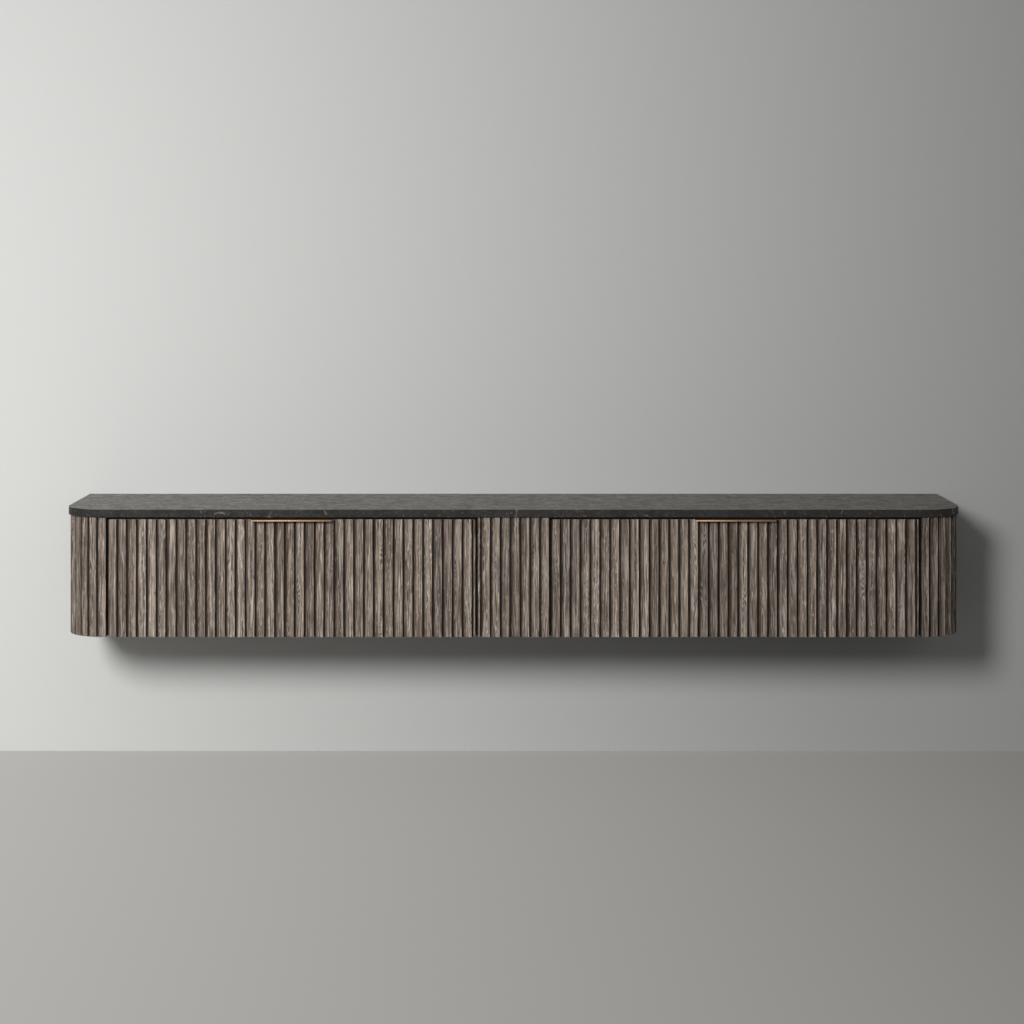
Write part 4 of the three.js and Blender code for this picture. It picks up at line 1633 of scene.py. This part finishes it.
@dataclass(frozen=True)
class Backdrop:
    """A plane that is seen from its front only.

    near and far are its colours at the left and right, a painted falloff of light from the lit left to the
    shaded right. shown is how much of its colour is seen as it is, directly and in gloss, whatever light
    falls on it. Light that leaves a surface nearer than gap goes through, so that a back near it is lit.
    """

    name: str
    corners: tuple[Place, ...]
    near: Rgb
    far: Rgb
    shown: float
    gap: float
    fade: float = 1.5

    def stand(self) -> None:
        made = make_mesh(self.name, np.array(self.corners), [np.array([[0, 1, 2, 3]])])
        r = Recipe(self.name)
        across = r.node("SeparateXYZ", {0: r.place()}).outputs[0]
        share = r.node("MapRange", {"Value": across, 1: -self.fade, 2: self.fade}).outputs[0]
        # Painted falloff: the colour fades from the lit left to the shaded right.
        painted_falloff = r.blend(share, self.near, self.far)
        matt = r.node("BsdfDiffuse", {"Color": painted_falloff}).outputs[0]
        plain = r.node("Emission", {"Color": painted_falloff}).outputs[0]
        ray = r.node("LightPath").outputs
        looked = r.maths("MAXIMUM", ray["Is Camera Ray"], ray["Is Glossy Ray"], ray["Is Transmission Ray"])
        seen = r.times(looked, self.shown)
        paint = r.node("MixShader", {0: seen, 1: matt, 2: plain}).outputs[0]
        clear = r.node("BsdfTransparent").outputs[0]
        near_by = r.maths("LESS_THAN", ray["Ray Length"], self.gap)
        near_by = r.times(near_by, r.maths("SUBTRACT", 1.0, looked))
        passed = r.maths("MAXIMUM", r.node("NewGeometry").outputs["Backfacing"], near_by)
        both = r.node("MixShader", {0: passed, 1: paint, 2: clear}).outputs[0]
        r.tree.links.new(both, r.output.inputs["Surface"])
        made.data.materials.append(r.material)


@dataclass(frozen=True)
class Studio:
    """A pale wall and floor, their light and the camera.

    The key lamp is large, soft and at the upper left, and weak light comes from all round. The wall can't
    be seen from behind, where a small lamp lights the back.
    """

    # The wall and floor colours fade from left to right as a painted falloff of the key lamp's light.
    wall: tuple[Rgb, Rgb] = (colour(200, 200, 198), colour(166, 166, 164))
    wall_place: float = 0.0015
    wall_top: float = 9.0
    wall_gap: float = 0.07
    floor: tuple[Rgb, Rgb] = (colour(186, 185, 182), colour(128, 127, 124))
    floor_shown: float = 0.85
    floor_height: float = -0.627
    reach: float = 14.0
    ambient: float = 0.30
    camera_place: Place = (-0.0043, -7.298, 0.817)
    lens: float = 87.33
    sensor: float = 36.0
    shift: float = -0.2465
    lamps: tuple[Lamp, ...] = (
        Lamp("key_lamp", (-2.6, -7.7, 2.66), (-1.55, 0.0, 0.25), 2.0, 128.0, 82.0),
        Lamp("rear_lamp", (0.0, 5.0, -0.05), (0.0, 0.0, -0.05), 0.2, 170.0, 180.0),
    )

    def build(self) -> None:
        """Sets up the wall, floor, lamps, world and camera."""
        side, back, low = self.reach, self.wall_place, self.floor_height
        wall = tuple((x, back, z) for x, z in ring_box((-side, low), (side, self.wall_top), 0.0))
        Backdrop("wall", wall, *self.wall, 0.0, self.wall_gap).stand()
        floor = tuple((x, y, low) for x, y in ring_box((-side, -side), (side, side), 0.0))
        Backdrop("floor", floor, *self.floor, self.floor_shown, 0.0).stand()
        for lamp in self.lamps:
            lamp.hang()

        scene = bpy.context.scene
        scene.world = bpy.data.worlds.new("soft_room")
        scene.world.use_nodes = True
        sky = scene.world.node_tree.nodes["Background"].inputs
        sky["Color"].default_value = (1.0, 1.0, 1.0, 1.0)
        sky["Strength"].default_value = self.ambient

        optics = bpy.data.cameras.new("camera")
        optics.lens = self.lens
        optics.sensor_width = self.sensor
        optics.shift_y = self.shift
        camera = bpy.data.objects.new("camera", optics)
        camera.location = self.camera_place
        camera.rotation_euler = (QUARTER_TURN, 0.0, 0.0)
        scene.collection.objects.link(camera)
        scene.camera = camera
        scene.view_settings.view_transform = "Standard"


def main() -> None:
    """Loads the CAD model, sets up the studio, and builds, dresses and reports every piece."""
    logging.basicConfig(level=logging.INFO, format="%(name)s: %(message)s")
    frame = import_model()
    Studio().build()
    pulls = []
    for word in SIDES:
        pulls.append(EdgePull(f"edge_pull_{word}_brass", f"front_{word}", Finish.BRASS, f"edge_pull_{word}"))
    paints = Paints()
    for piece in [*skins(), StoneTop(), *pulls, *Carcass().pieces(frame), *Hardware().pieces()]:
        made = piece.build(paints)
        log.info("%s with %d faces", made.name, len(made.data.polygons))


if __name__ == "__main__":
    main()
